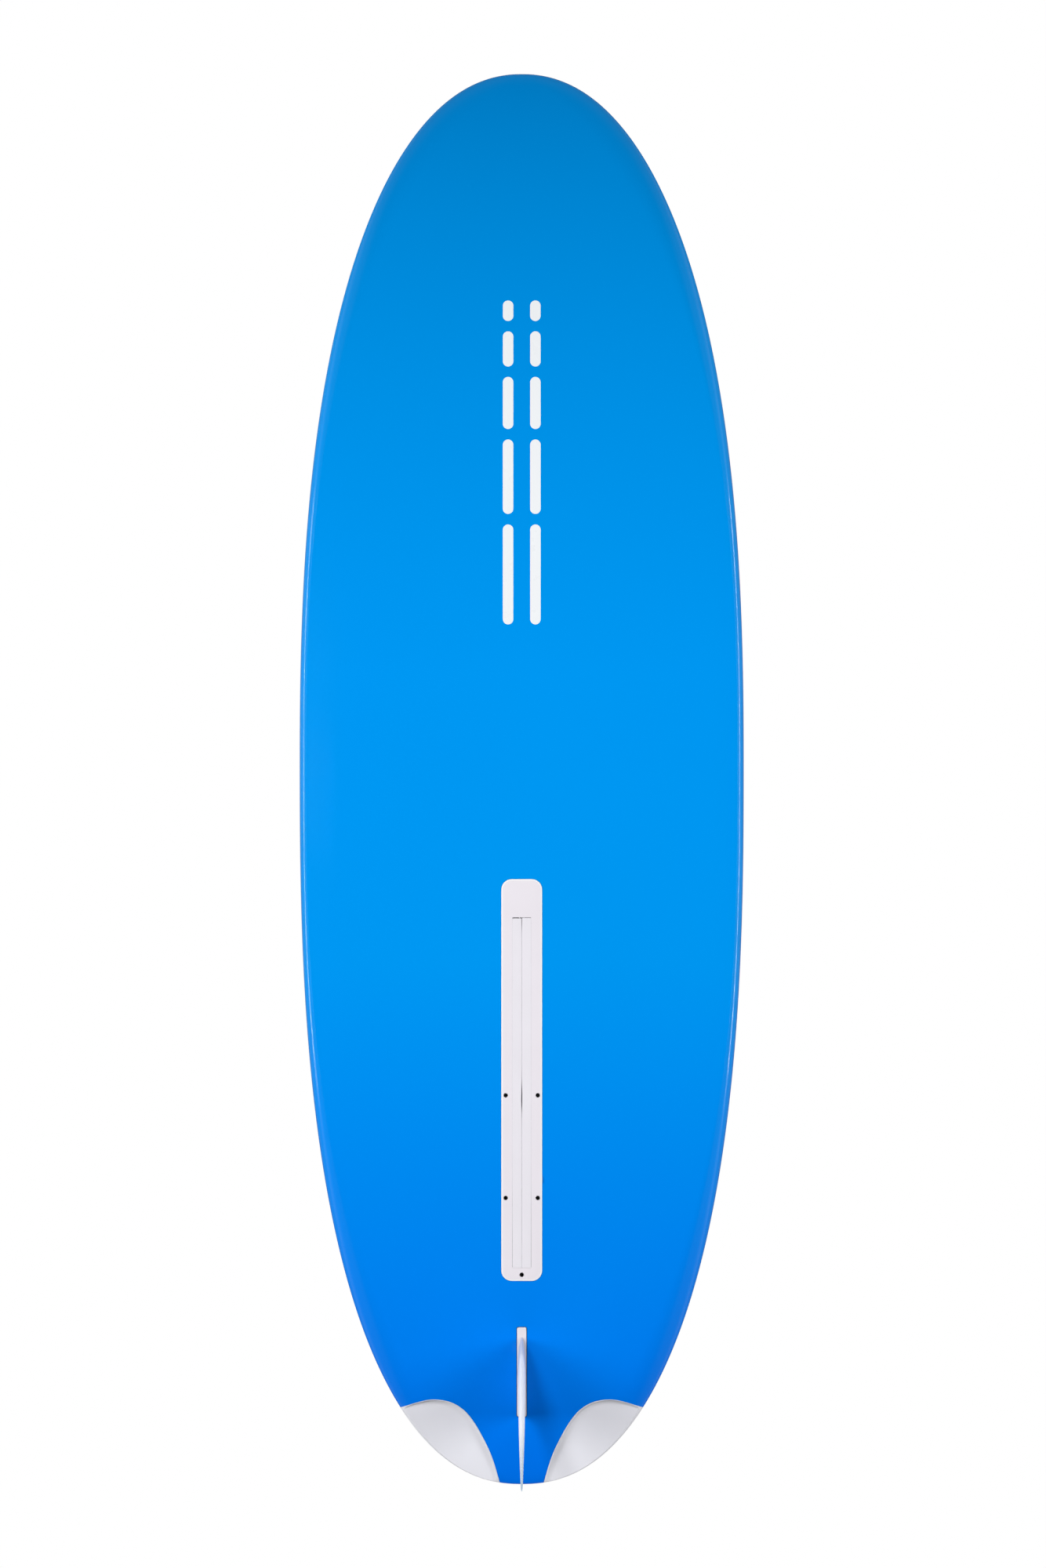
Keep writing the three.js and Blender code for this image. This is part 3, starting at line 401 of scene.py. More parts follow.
class Finish(Nodes):
    """A procedural material: a base colour that varies, a roughness that varies and a fine bump."""

    def __init__(self, name, color, roughness, metallic=0.0):
        self.material = bpy.data.materials.new(name)
        self.material.use_nodes = True
        super().__init__(self.material.node_tree)
        self.shader = self.tree.nodes["Principled BSDF"]
        self.place = self.node("TexCoord").outputs["Object"]
        self.color = color
        self.roughness = roughness
        self.bump = None
        self.set("Base Color", color)
        self.set("Roughness", roughness)
        self.set("Metallic", metallic)

    def set(self, socket, value):
        self.shader.inputs[socket].default_value = value

    def stretched(self, scale):
        return self.node("Mapping", {"Scale": scale, "Vector": self.place}).outputs["Vector"]

    def noise(self, scale, detail=3.0, vector=None):
        inputs = {"Scale": scale, "Detail": detail, "Vector": vector or self.place}
        return self.node("TexNoise", inputs).outputs["Fac"]

    def vary_color(self, factor, other):
        """Blends in another colour, over what is there, by the factor."""
        base = self.shader.inputs["Base Color"]
        before = base.links[0].from_socket if base.links else self.color
        mix = self.node("Mix", {"A": before, "B": other, "Factor": factor}, data_type="RGBA")
        self.link(mix.outputs["Result"], base)

    def vary_roughness(self, factor, spread):
        varied = self.range(factor, self.roughness - spread, self.roughness + spread, 0.3, 0.7)
        self.link(varied, self.shader.inputs["Roughness"])

    def add_bump(self, height, distance, strength):
        """Adds a bump of this many millimetres on top of the bumps so far."""
        inputs = {"Distance": distance * MM, "Strength": strength, "Height": height}
        if self.bump is not None:
            inputs["Normal"] = self.bump
        self.bump = self.node("Bump", inputs).outputs["Normal"]
        self.link(self.bump, self.shader.inputs["Normal"])


def hull_paint():
    """Gloss paint with orange peel, a drift of colour along the board that is painted shade at the nose and
    the tail, and fine scuffs.
    """
    paint = Finish("hull_blue", linear(0, 150, 240), 0.16)
    paint.set("Specular IOR Level", 0.16)
    along = paint.parts(paint.place)["X"]  # in metres
    # painted shade: a darker blue towards the nose and a deeper blue towards the tail
    paint.vary_color(paint.range(along, 0.0, 0.95, 0.2, NOSE_X * MM), linear(0, 135, 212))
    paint.vary_color(paint.range(along, 0.9, 0.0, TAIL_X * MM, -0.35), linear(0, 109, 241))
    paint.vary_color(paint.range(paint.noise(2.2, 2.0), 0.0, 0.12, 0.35, 0.75), linear(0, 142, 232))
    paint.vary_roughness(paint.noise(7, 4.0), 0.05)
    scuffs = paint.noise(60, 5.0, paint.stretched((0.12, 1.6, 1.0)))
    paint.add_bump(paint.noise(420, 2.0), 0.012, 0.5)
    paint.add_bump(paint.range(scuffs, 0.0, 1.0, 0.55, 0.8), 0.01, 0.35)
    return paint.material


def grained(plastic, grain, depth, drift, coat=0.0):
    """Gives a plastic a fine grain, a slight drift of tone and uneven gloss."""
    plastic.set("Coat Weight", coat)
    plastic.vary_color(plastic.range(plastic.noise(9, 3.0), 0.0, 1.0, 0.35, 0.7), shade(plastic.color, drift))
    plastic.vary_roughness(plastic.noise(30, 4.0), 0.05)
    plastic.add_bump(plastic.noise(grain, 3.0), depth, 0.6)
    return plastic.material


def fin_plastic():
    """Satin white plastic, with painted shade that makes the base's face a little greyer and the blade's thin
    tip a bluish grey.
    """
    plastic = Finish("fin_white", linear(244, 246, 250), 0.45)
    plastic.set("Specular IOR Level", 0.2)
    height = plastic.parts(plastic.place)["Z"]  # in metres
    grained(plastic, 500, 0.008, 0.98)
    # painted shade: the base's face is a little greyer
    plastic.vary_color(plastic.range(height, 0.0, 1.0, -0.004, -0.001), linear(232, 228, 235))
    # painted shade: the blade turns a bluish grey towards its thin tip
    plastic.vary_color(plastic.range(height, 0.85, 0.0, -0.38, -0.29), linear(170, 192, 212))
    return plastic.material


def bead_foam():
    foam = Finish("bead_foam", linear(240, 238, 230), 0.9)
    from_middle = foam.node("TexVoronoi", {"Scale": 260, "Vector": foam.place}).outputs["Distance"]
    foam.vary_color(foam.range(from_middle, 0.0, 0.5, 0.2, 0.8), linear(206, 202, 190))
    foam.add_bump(foam.range(from_middle, 1.0, 0.0), 0.5, 0.7)
    return foam.material


def deck_foam():
    """Closed-cell foam: matt, finely pitted, with a little dirt in patches."""
    foam = Finish("deck_foam", linear(92, 104, 116), 0.92)
    foam.vary_color(foam.range(foam.noise(5, 4.0), 0.0, 0.5, 0.4, 0.75), linear(112, 122, 132))
    foam.vary_color(foam.range(foam.noise(1400, 2.0), 0.0, 0.55, 0.35, 0.7), linear(66, 76, 86))
    foam.add_bump(foam.noise(1600, 2.0), 0.12, 0.8)
    return foam.material


def woven(name, color, light):
    """Webbing: a plain weave in the strap's own directions, from its UV map."""
    cloth = Finish(name, color, 0.85)
    cloth.set("Sheen Weight", 0.25)
    waves = {"Scale": 1.0, "Vector": cloth.node("TexCoord").outputs["UV"]}
    threads = [cloth.node("TexWave", waves, bands_direction=axis).outputs["Fac"] for axis in "XY"]
    weave = cloth.calculate("MULTIPLY", *threads)
    cloth.vary_color(cloth.range(weave, 0.0, 0.8), light)
    cloth.vary_color(cloth.range(cloth.noise(40, 3.0), 0.0, 0.3, 0.4, 0.7), color)
    cloth.add_bump(weave, 0.35, 0.8)
    return cloth.material


def brushed(name, color, roughness):
    """Metal with fine streaks round its axis."""
    metal = Finish(name, color, roughness, 1.0)
    streaks = metal.noise(300, 4.0, metal.stretched((1.0, 1.0, 12.0)))
    metal.vary_color(metal.range(streaks, 0.0, 0.35, 0.35, 0.7), shade(color, 0.7))
    metal.vary_roughness(streaks, 0.08)
    metal.add_bump(streaks, 0.01, 0.5)
    return metal.material


def soft_rubber(name, color):
    rubber = Finish(name, color, 0.8)
    rubber.vary_color(rubber.range(rubber.noise(50, 4.0), 0.0, 0.4, 0.4, 0.7), shade(color, 1.35))
    rubber.add_bump(rubber.noise(1100, 3.0), 0.05, 0.7)
    return rubber.material


# colour, roughness, fineness and depth (mm) of the grain, how far the tone drifts, and clear coat
MOULDED = {
    "deck_white": ((236, 238, 240), 0.42, 1500, 0.06, 0.95),
    "panel_grey": ((240, 240, 247), 0.38, 700, 0.015, 0.97, 0.1),
    "plate_white": ((238, 233, 240), 0.4, 1100, 0.02, 0.98),
    # painted highlight: a brighter white for the slot plate's rounded edge
    "plate_edge_highlight": ((255, 255, 255), 0.3, 1100, 0.01, 0.995, 0.3),
    "lip_white": ((237, 234, 241), 0.6, 1300, 0.04, 0.97),
    "blade_grey": ((186, 192, 199), 0.36, 600, 0.012, 0.95, 0.15),
    "black_plastic": ((34, 37, 41), 0.5, 1200, 0.05, 0.8),
    "graphic_white": ((244, 247, 250), 0.3, 900, 0.006, 0.99, 0.2),
    "thread": ((196, 200, 206), 0.7, 2500, 0.05, 0.8),
}
FINISHES = {
    "hull_blue": hull_paint(),
    "foam": bead_foam(),
    "fin_white": fin_plastic(),
    "rubber": soft_rubber("rubber", linear(26, 27, 29)),
    "pad_grey": deck_foam(),
    "webbing": woven("webbing", linear(30, 33, 38), linear(72, 77, 84)),
    "sleeve": woven("sleeve", linear(38, 41, 46), linear(60, 64, 70)),
    "steel": brushed("steel", linear(190, 193, 196), 0.3),
    "brass": brushed("brass", linear(196, 160, 96), 0.32),
}
for plastic_name, (rgb, gloss, *grain_values) in MOULDED.items():
    FINISHES[plastic_name] = grained(Finish(plastic_name, linear(*rgb), gloss), *grain_values)


def paint_all(obj, look):
    """Puts one material on every face."""
    obj.data.materials.clear()
    obj.data.materials.append(FINISHES[look])
    obj.data.polygons.foreach_set("material_index", [0] * len(obj.data.polygons))


def finish(obj, slot, *nodes, body="board", look=None, angle=32):
    """Smooths a piece, gives it its material and says which CAD nodes it stands for and what it rides on."""
    paint_all(obj, look or slot)
    obj.data.polygons.foreach_set("use_smooth", [True] * len(obj.data.polygons))
    obj.data.set_sharp_from_angle(angle=math.radians(angle))
    if nodes:
        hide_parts(*nodes)
    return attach(obj, body)


# ---- openings shared by several pieces

# rounded rectangles: back end, front end, half width and corner radius
PLATE_BACK, PLATE_FRONT, PLATE_HALF, PLATE_CORNER = -954, -190, 39, 20
SLOT_PLATE = rounded_rectangle(PLATE_BACK, PLATE_FRONT, PLATE_HALF, PLATE_CORNER)
DECK_PLATE = rounded_rectangle(-455, -215, 33, 12)
TRACK_BACK, TRACK_FRONT, TRACK_CORNER = -140, 160, 10
TRACK = rounded_rectangle(TRACK_BACK, TRACK_FRONT, 24, TRACK_CORNER)
FIN_BACK = -1213
FIN_BASE = rounded_rectangle(FIN_BACK, -1042, 9, 3)
LEVER_SLOT_BACK, LEVER_SLOT_FRONT = -432, -238
LEVER_SLOT = rounded_rectangle(LEVER_SLOT_BACK, LEVER_SLOT_FRONT, 10, 4)
LEVER_GASKET = rounded_rectangle(LEVER_SLOT_BACK, LEVER_SLOT_FRONT, 4.8, 4)
GASKET_THICK = 0.8
SLOT_PLATE_BOTTOM, SLOT_PLATE_TOP = -0.4, 3.1
DECK_PLATE_BOTTOM, DECK_PLATE_TOP = 126.6, 129.6
TRACK_TOP = 128.6
SLOT_BACK, SLOT_FRONT, SLOT_HALF = -929, -263, 18
FIN_BOLT_X = -1128
FIN_BOX_MOUTH = 1.2  # gap round the fin base where it enters the hull
VENT_X = 330
PLATE_SCREWS = [(-601, 30.5), (-601, -30.5), (-796, 30.5), (-796, -30.5), (-942, 0)]
DECK_SCREWS = [(-226, 22), (-226, -22), (-444, 22), (-444, -22)]
STRAPS = {"port": (-520, 205, 22), "starboard": (-520, -205, -22), "rear": (-1020, 0, 90)}
SCREW_HOLE, SCREW_RECESS, SCREW_SINK = 2.9, 4.3, 2.3  # radii, and depth of the recess, of the plates' holes
STRAP_SCREW = 82  # how far a strap's screws stand from its middle
PLUG_RADIUS, PLUG_DEPTH = 9, 27
VENT_RADIUS = 11
WELL_RADIUS = 13  # the hole in the deck over the fin's bolt
HIGH, LOW = 200, -40  # well above and below the hull
DECK_CUT = (100, HIGH)  # heights that a cutter through the deck skin spans
BOTTOM_CUT = (LOW, 20)  # and one through the bottom skin
AFT_DECK_CUT = (50, HIGH)  # the deck skin is lower near the fin


def pocket(outline, z0, z1, grow=GAP):
    return stack("cutter", outline, [(grow, z0), (grow, z1)])


def strap_frame(x, y, turn):
    """Where a strap's own frame stands: X along the strap, Z out of the deck."""
    step = 5
    slope_x = (deck_height(x + step, y) - deck_height(x - step, y)) / (2 * step)
    slope_y = (deck_height(x, y + step) - deck_height(x, y - step)) / (2 * step)
    up = Vector((-slope_x, -slope_y, 1)).normalized()
    angle = math.radians(turn)
    side = up.cross(Vector((math.cos(angle), math.sin(angle), 0))).normalized()
    along = side.cross(up)
    rotation = Matrix((along, side, up)).transposed()
    return (x, y, deck_height(x, y)), rotation


def strap_bores(radius, z0, z1):
    made = []
    for x, y, turn in STRAPS.values():
        at, rotation = strap_frame(x, y, turn)
        for end in (STRAP_SCREW, -STRAP_SCREW):
            made.append(place(rod(radius, end, 0, z0, z1), at, rotation))
    return made


# ---- hull skins and tail cutaways

CUTAWAY_FRONT_X = -1180
CUTAWAY_DEPTH, CUTAWAY_SLOPE = 22, 0.055
CUTAWAY_CUT = (LOW, 90)  # heights that its cutter spans
TRAY_FROM_X = -1090  # a little ahead of the cutaways
CUTAWAY_RIM, CUTAWAY_FILLET = 1.5, 10


def cutaway_outline(side, aft_x=-1420):
    """Outline function of a tail cutaway: a smooth line from the rail in and aft to the tail."""
    knots = [(-1206, 252), (CUTAWAY_FRONT_X, 172), (-1200, 110), (-1275, 63), (-1355, 38)]
    curve = smooth_line([knots[0], *knots, knots[-1]], 16) + [knots[-1]]

    def outline(shift):
        moved = [(x - shift, y + shift) for x, y in curve]
        ends = [(aft_x, knots[-1][1] + shift), (aft_x, knots[0][1] + shift)]
        return [(x, side * y) for x, y in moved + ends]

    return outline


def floor_height(x):
    """The cutaway's floor, which comes slowly nearer the deck on its way aft."""
    return CUTAWAY_DEPTH + (CUTAWAY_FRONT_X - x) * CUTAWAY_SLOPE


HULL_STATIONS = stations(TIP_SHARE)
HOLLOW_STATIONS = [x for x in HULL_STATIONS if end_share(x) <= HOLLOW_SHARE]


def inner_space():
    def ring(x):
        lower = across(lower_half(x, -SKIN))
        upper = across(upper_half(x, -SKIN)[1:])
        return lower + upper[::-1]

    return hull_loft("inner", HOLLOW_STATIONS, ring)


def hull_bottom():
    skin = hull_loft("hull_bottom", HULL_STATIONS, underside)
    cut(skin, inner_space(), pocket(SLOT_PLATE, *BOTTOM_CUT), pocket(FIN_BASE, *BOTTOM_CUT, FIN_BOX_MOUTH))
    for side in (1, -1):
        cut(skin, pocket(cutaway_outline(side), *CUTAWAY_CUT, 0))
    finish(skin, "hull_blue", "bottom_shell")


def hull_deck():
    skin = hull_loft("hull_deck", HULL_STATIONS, deckside)
    cut(skin, inner_space(), pocket(DECK_PLATE, *DECK_CUT), pocket(TRACK, *DECK_CUT))
    cut(skin, rod(VENT_RADIUS + GAP, VENT_X, 0, *DECK_CUT))
    cut(skin, rod(WELL_RADIUS + GAP, FIN_BOLT_X, 0, *AFT_DECK_CUT))
    cut(skin, *strap_bores(PLUG_RADIUS + GAP, -PLUG_DEPTH - GAP, 30))
    finish(skin, "deck_white", "deck_shell")


def tail_cutaway(name, side):
    """A pale tray let into the tail: a rim flush with the bottom, a wall that sweeps into a sloping floor."""
    tray = hull_loft(name, [x for x in HULL_STATIONS if x < TRAY_FROM_X], underside)
    outline = cutaway_outline(side)
    combine(tray, "INTERSECT", pocket(outline, *CUTAWAY_CUT))
    levels = [(CUTAWAY_RIM, LOW)]
    steps = 9
    for i in range(steps + 1):
        turn = i / steps * math.pi / 2
        shift = CUTAWAY_RIM + CUTAWAY_FILLET * (1 - math.cos(turn))
        drop = CUTAWAY_FILLET * (1 - math.sin(turn))
        levels.append((shift, lambda x, y, drop=drop: floor_height(x) - drop))
    cut(tray, stack("cutter", outline, levels))
    finish(tray, "panel_grey", f"tail_{name}", angle=38)


# ---- slot plate, lips and their screws

PLATE_ROUNDING = 2.6


def inside_plate(x, y):
    """How far a place lies inside the plate's outline."""
    from_end = min(x - PLATE_BACK, PLATE_FRONT - x)
    from_side = PLATE_HALF - abs(y)
    if max(from_end, from_side) < PLATE_CORNER:
        return PLATE_CORNER - math.hypot(PLATE_CORNER - from_end, PLATE_CORNER - from_side)
    return min(from_end, from_side)


def bottom_slot_plate():
    """The plate, with a glossier rounded edge painted a brighter white as a highlight, so that it stands out
    from its matt face.
    """
    bottom = SLOT_PLATE_BOTTOM
    levels = [(-PLATE_ROUNDING, bottom), (-1.1, bottom + 0.3), (-0.3, bottom + 0.8), (0, bottom + 1.5),
              (0, SLOT_PLATE_TOP)]
    plate = stack("slot_plate", SLOT_PLATE, levels)
    slot = rounded_rectangle(SLOT_BACK, SLOT_FRONT, SLOT_HALF, 1.5)
    cut(plate, pocket(slot, *BOTTOM_CUT, 0))
    for x, y in PLATE_SCREWS:
        cut(plate, rod(SCREW_HOLE, x, y, *BOTTOM_CUT), rod(SCREW_RECESS, x, y, LOW, bottom + SCREW_SINK))
    finish(plate, "plate_white", "bottom_slot_plate")
    # the rounded edge's faces take the brighter white, a painted highlight
    plate.data.materials.append(FINISHES["plate_edge_highlight"])
    for face in plate.data.polygons:
        x, y, _ = face.center / MM
        tilted = -0.995 < face.normal.z < -0.05
        if tilted and inside_plate(x, y) < PLATE_ROUNDING:
            face.material_index = 1


LIP_GAPE = 0.1  # half the gap between the lips where they lie closed
LIP_GAPE_MIDDLE = (-605, 26, 0.8)  # where they stand apart, over what length and how much wider
LIP_GAPE_FRONT = (24, 0.35)  # the same at the slot's front end: over what length and how much wider
LIP_SHORT = {1: 0.9, -1: 1.7}  # how far each lip ends before the slot's front end
LIP_SINK = {1: 0.35, -1: 0.05}  # how much deeper each lip lies at its free edge than at its root
LIP_ROOT_GAP = (0.06, 0.34, -720)  # gap beside the plate, what it gains by the slot's end, and from where


def lip_gape(x):
    """Half the gap between the lips at x."""
    at, spread, wide = LIP_GAPE_MIDDLE
    front_spread, front_wide = LIP_GAPE_FRONT
    middle = wide * math.exp(-((x - at) / spread) ** 2)
    return LIP_GAPE + middle + front_wide * math.exp(-((SLOT_FRONT - x) / front_spread) ** 2)


def slot_lip(name, side):
    """A flexible lip with a rounded free edge."""
    bottom, top = SLOT_PLATE_BOTTOM, SLOT_PLATE_TOP - 0.4
    edge = bottom + LIP_SINK[side]
    start, end = SLOT_BACK + GAP, SLOT_FRONT - LIP_SHORT[side]
    near_gap, end_gap, grows_from = LIP_ROOT_GAP
    rings = []
    count = 160
    for i in range(count + 1):
        x = start + (end - start) * i / count
        gape = lip_gape(x)
        far = SLOT_HALF - near_gap - end_gap * past(x, grows_from, SLOT_BACK)
        profile = [(gape + 1.4, edge), (gape + 0.5, edge + 0.05), (gape + 0.12, edge + 0.25),
                   (gape, edge + 0.6), (gape, top - 0.6), (gape + 0.5, top), (far, top),
                   (far, bottom + 0.15), (far - 0.15, bottom)]
        rings.append([(x, side * y, z) for y, z in profile])
    lip = loft(name, rings)
    finish(lip, "lip_white", f"slot_{name}")
    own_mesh(lip)


def plate_screw(name, node, at, turn=None):
    """A countersunk screw with a six-sided drive, head down at z = 0 and shank up the axis."""
    profile = [(0, 0), (3.5, 0), (3.95, 0.3), (4, 0.6), (4, 1), (1.6, 3), (1.6, 6.3), (0.6, 7.3), (0, 7.3)]
    screw = lathe(name, profile)
    cut(screw, rod(1.7, 0, 0, -1, 1.7, 6))
    place(screw, at, turn)
    finish(screw, "steel", node)


def slot_plate_screws():
    for i, (x, y) in enumerate(PLATE_SCREWS, 1):
        plate_screw(f"bottom_screw_{i}", f"slot_plate_screw_{i}", (x, y, SLOT_PLATE_BOTTOM + 0.1))
    flip = Matrix.Rotation(math.pi, 3, "X")
    for i, (x, y) in enumerate(DECK_SCREWS, 1):
        plate_screw(f"deck_screw_{i}", f"deck_plate_screw_{i}", (x, y, DECK_PLATE_TOP - 0.1), flip)


# ---- fin and its fastenings

FIN_FRONT, FIN_TIP_FRONT, FIN_TIP_BACK = -1060, -1250, -1301
FIN_FRONT_POWER = 1.7  # the higher, the later the leading edge sweeps aft
FIN_BACK_BOW = 0.75  # how far the trailing edge bows forward before it sweeps aft
FIN_ROOT_Z, FIN_DEPTH = 16, 380
FIN_HALF_ROOT, FIN_HALF_TIP, FIN_THINNING_POWER = 7.2, 2.2, 3.5
FIN_TIP_ROUNDING = (0.85, 10)  # how much of the chord closes at the tip, and how late
FIN_TIP_MIDDLE = 0.35  # share of the chord, from behind, that the tip closes towards
FIN_TRAILING_FULLNESS, FIN_NOSE_POWER = 0.55, 0.3
FIN_FAIRING, FIN_FAIRING_REACH = 1.2, 7  # extra half thickness where the blade meets its base


def fin_ring(share, sides=72):
    """The blade's section at a share of its depth, with the CAD's curves."""
    front = FIN_FRONT + (FIN_TIP_FRONT - FIN_FRONT) * share**FIN_FRONT_POWER
    back = FIN_BACK + (FIN_TIP_BACK - FIN_BACK) * ((1 + FIN_BACK_BOW) * share**2 - FIN_BACK_BOW * share)
    half = FIN_HALF_ROOT + (FIN_HALF_TIP - FIN_HALF_ROOT) * share**FIN_THINNING_POWER
    closed, power = FIN_TIP_ROUNDING
    closing = math.sqrt(1 - closed * share**power)
    middle = back + (front - back) * FIN_TIP_MIDDLE
    front = middle + (front - middle) * closing
    back = middle + (back - middle) * closing
    z = FIN_ROOT_Z - (FIN_DEPTH + FIN_ROOT_Z) * share
    half += FIN_FAIRING * math.exp(-max(0.0, -z) / FIN_FAIRING_REACH)
    points = []
    for c, s in circle(sides):
        along = (1 + c) / 2
        full = FIN_TRAILING_FULLNESS + (1 - FIN_TRAILING_FULLNESS) * along**FIN_NOSE_POWER
        points.append((back + (front - back) * along, s * full * half, z))
    return points


FIN_NUT = (FIN_BOLT_X, 0, 33)
FIN_BOLT_HOLE = 3.3


def fin():
    shares = [math.sin(math.pi / 2 * i / 64) for i in range(65)]
    blade = loft("tail_fin", [fin_ring(s) for s in shares])
    levels = [
        (-0.8, lambda x, y: bottom_height(x, 0) - 0.5),
        (0, lambda x, y: bottom_height(x, 0) + 0.4),
        (0, 20),
        (-1, 50),
    ]
    join(blade, stack("cutter", FIN_BASE, levels))
    nut_bore = place(rod(6.3, 0, 0, -20, 20), FIN_NUT, TO_STARBOARD)
    cut(blade, rod(FIN_BOLT_HOLE, FIN_BOLT_X, 0, 20, 90), nut_bore)
    finish(blade, "fin_white", "fin")


def fin_fastenings():
    well_depth, washer_thick = 9, 1.6
    seat = Section(FIN_BOLT_X).deck - well_depth + GAP
    top = seat + washer_thick
    head = top + GAP
    washer = lathe("fin_bolt_washer", [(3.3, seat), (8.7, seat), (9, seat + 0.4), (9, seat + 1.2),
                                       (8.7, top), (3.3, top)])
    finish(place(washer, (FIN_BOLT_X, 0, 0)), "steel", "fin_washer")
    bolt = lathe("fin_screw", [(0, 24), (2.4, 24), (3, 25), (3, head), (5.3, head), (5.5, head + 0.4),
                               (5.5, head + 5.2), (4.9, head + 6), (0, head + 6)])
    cut(bolt, rod(2.9, 0, 0, head + 2.5, HIGH, 6))
    finish(place(bolt, (FIN_BOLT_X, 0, 0)), "steel", "fin_bolt")
    nut = place(pin("barrel_nut", 6, 8), FIN_NUT, TO_STARBOARD)
    cut(nut, rod(FIN_BOLT_HOLE, FIN_BOLT_X, 0, 20, 60))
    finish(nut, "brass", "fin_barrel_nut")


# ---- centreboard, lever and pivot

PIVOT = (-335, 0, 62)
LEVER_ANGLE = math.radians(45)
BLADE_HEAD, BLADE_REACH = 46, 540
RIVET_ALONG, RIVET_SIDE, RIVET_HOLE = 29, 6, 2.6
# distances from the pivot along the lever: where its wide bar starts and ends, and where its narrow bar ends
LEVER_START, LEVER_WIDE_END, LEVER_END = 18, 92, 126
LEVER_HALF_WIDE, LEVER_HALF_NARROW, LEVER_HALF_THICK = 13, 7, 4
GRIP_CENTRE, GRIP_RADIUS, GRIP_HALF, GRIP_RIBS = 118, 14, 17, 9


def blade_outline():
    """The blade's side view, (x, height): a round head at the pivot, then aft to a rounded tip."""
    px, _, pz = PIVOT
    head = []
    for i in range(33):
        turn = -math.pi / 2 + math.pi * i / 32
        head.append((px + BLADE_HEAD * math.cos(turn), pz + BLADE_HEAD * math.sin(turn)))
    tip_x, tip_z = px - BLADE_REACH, pz - 44
    top = [(px - 120, pz + BLADE_HEAD), (px - 360, pz + 34), (tip_x, pz + 12)]
    top += [(px - 575, pz - 20), (tip_x, tip_z)]
    curve = smooth_line([(px, pz + BLADE_HEAD), *top, (px - 400, pz - 45)], 14)
    lower = [(tip_x + BLADE_REACH * i / 20, tip_z - 2 * i / 20) for i in range(20)]
    return head + curve + lower


def upright(obj):
    """Turns a body built with its plan in X and Y, and its height across, into the board's XZ plane."""
    return place(obj, (0, 0, 0), Matrix(((1, 0, 0), (0, 0, 1), (0, 1, 0))))


def lever_bar(name, start, end, half_wide, half_thick, radius=3):
    outline = rounded_rectangle(start, end, half_wide, radius, 8)
    levels = [(-0.6, -half_thick), (0, -half_thick + 0.6), (0, half_thick - 0.6), (-0.6, half_thick)]
    return place(upright(stack(name, outline, levels)), PIVOT, Matrix.Rotation(-LEVER_ANGLE, 3, "Y"))


def rivet_places():
    c, s = math.cos(LEVER_ANGLE), math.sin(LEVER_ANGLE)
    return [(PIVOT[0] + RIVET_ALONG * c - side * s, 0, PIVOT[2] + RIVET_ALONG * s + side * c)
            for side in (RIVET_SIDE, -RIVET_SIDE)]


def cross_rod(radius, at, half):
    return place(rod(radius, 0, 0, -half, half), at, TO_PORT)


def centreboard():
    outline = blade_outline()
    flat, edge_high, edge_wide = 3.5, 4, 10
    levels = []
    steps = 8
    for i in range(-steps, steps + 1):
        turn = i / steps * math.pi / 2
        side = (i > 0) - (i < 0)
        levels.append((-edge_wide * (1 - math.cos(turn)), side * flat + edge_high * math.sin(turn)))
    blade = upright(stack("centreboard_foil", lambda grow: grown(outline, grow), levels))
    lever_pocket = lever_bar("cutter", LEVER_START - GAP, LEVER_WIDE_END, LEVER_HALF_WIDE + GAP,
                             LEVER_HALF_THICK + GAP, 1)
    cut(blade, lever_pocket, cross_rod(5.3, PIVOT, 20))
    for at in rivet_places():
        cut(blade, cross_rod(RIVET_HOLE, at, 20))
    finish(blade, "blade_grey", "centreboard_blade", body="centreboard")


def lever():
    arm = lever_bar("foot_lever", LEVER_START, LEVER_WIDE_END, LEVER_HALF_WIDE, LEVER_HALF_THICK)
    join(arm, lever_bar("cutter", LEVER_WIDE_END - 4, LEVER_END, LEVER_HALF_NARROW, LEVER_HALF_THICK, 2))
    for at in rivet_places():
        cut(arm, cross_rod(RIVET_HOLE, at, 20))
    finish(arm, "steel", "centreboard_lever", body="centreboard")
    end = [(GRIP_RADIUS - 1, 16.4), (GRIP_RADIUS - 2.5, GRIP_HALF), (0, GRIP_HALF)]
    ribbed_half, rib_high, rib_steps = 15.6, 0.65, 6
    steps = GRIP_RIBS * rib_steps
    ribs = []
    for i in range(steps + 1):
        rib = rib_high * math.cos(2 * math.pi * i / rib_steps)
        ribs.append((GRIP_RADIUS - rib_high + rib, -ribbed_half + 2 * ribbed_half * i / steps))
    grip = lathe("foot_grip", [(r, -z) for r, z in reversed(end)] + ribs + end)
    place(place(grip, (0, 0, 0), TO_PORT), (GRIP_CENTRE, 0, 0))
    place(grip, PIVOT, Matrix.Rotation(-LEVER_ANGLE, 3, "Y"))
    cut(grip, lever_bar("cutter", 80, LEVER_END + GAP, LEVER_HALF_NARROW + GAP, LEVER_HALF_THICK + GAP, 2))
    finish(grip, "rubber", "lever_grip", angle=60, body="centreboard")
    for name, at in zip(("upper", "lower"), rivet_places()):
        rivet = place(pin(f"rivet_{name}", 2.5, 7.3, 0.5), at, TO_PORT)
        finish(rivet, "steel", f"lever_rivet_{name}", body="centreboard")


def pivot():
    finish(place(pin("swing_pin", 5, 15), PIVOT, TO_PORT), "steel", "pivot_pin")
    for name, side in (("port", 1), ("starboard", -1)):
        bush = lathe(f"swing_bush_{name}", [(5.3, 7.9), (11.6, 7.9), (12, 8.3), (12, 9.3), (11.6, 9.7),
                                            (8, 9.7), (8, 14.5), (7.7, 14.8), (5.3, 14.8)])
        outwards = Matrix(((1, 0, 0), (0, 0, side), (0, 1, 0)))
        finish(place(bush, PIVOT, outwards), "plate_white", f"pivot_bush_{name}")


# ---- deck plate, mast track and vent


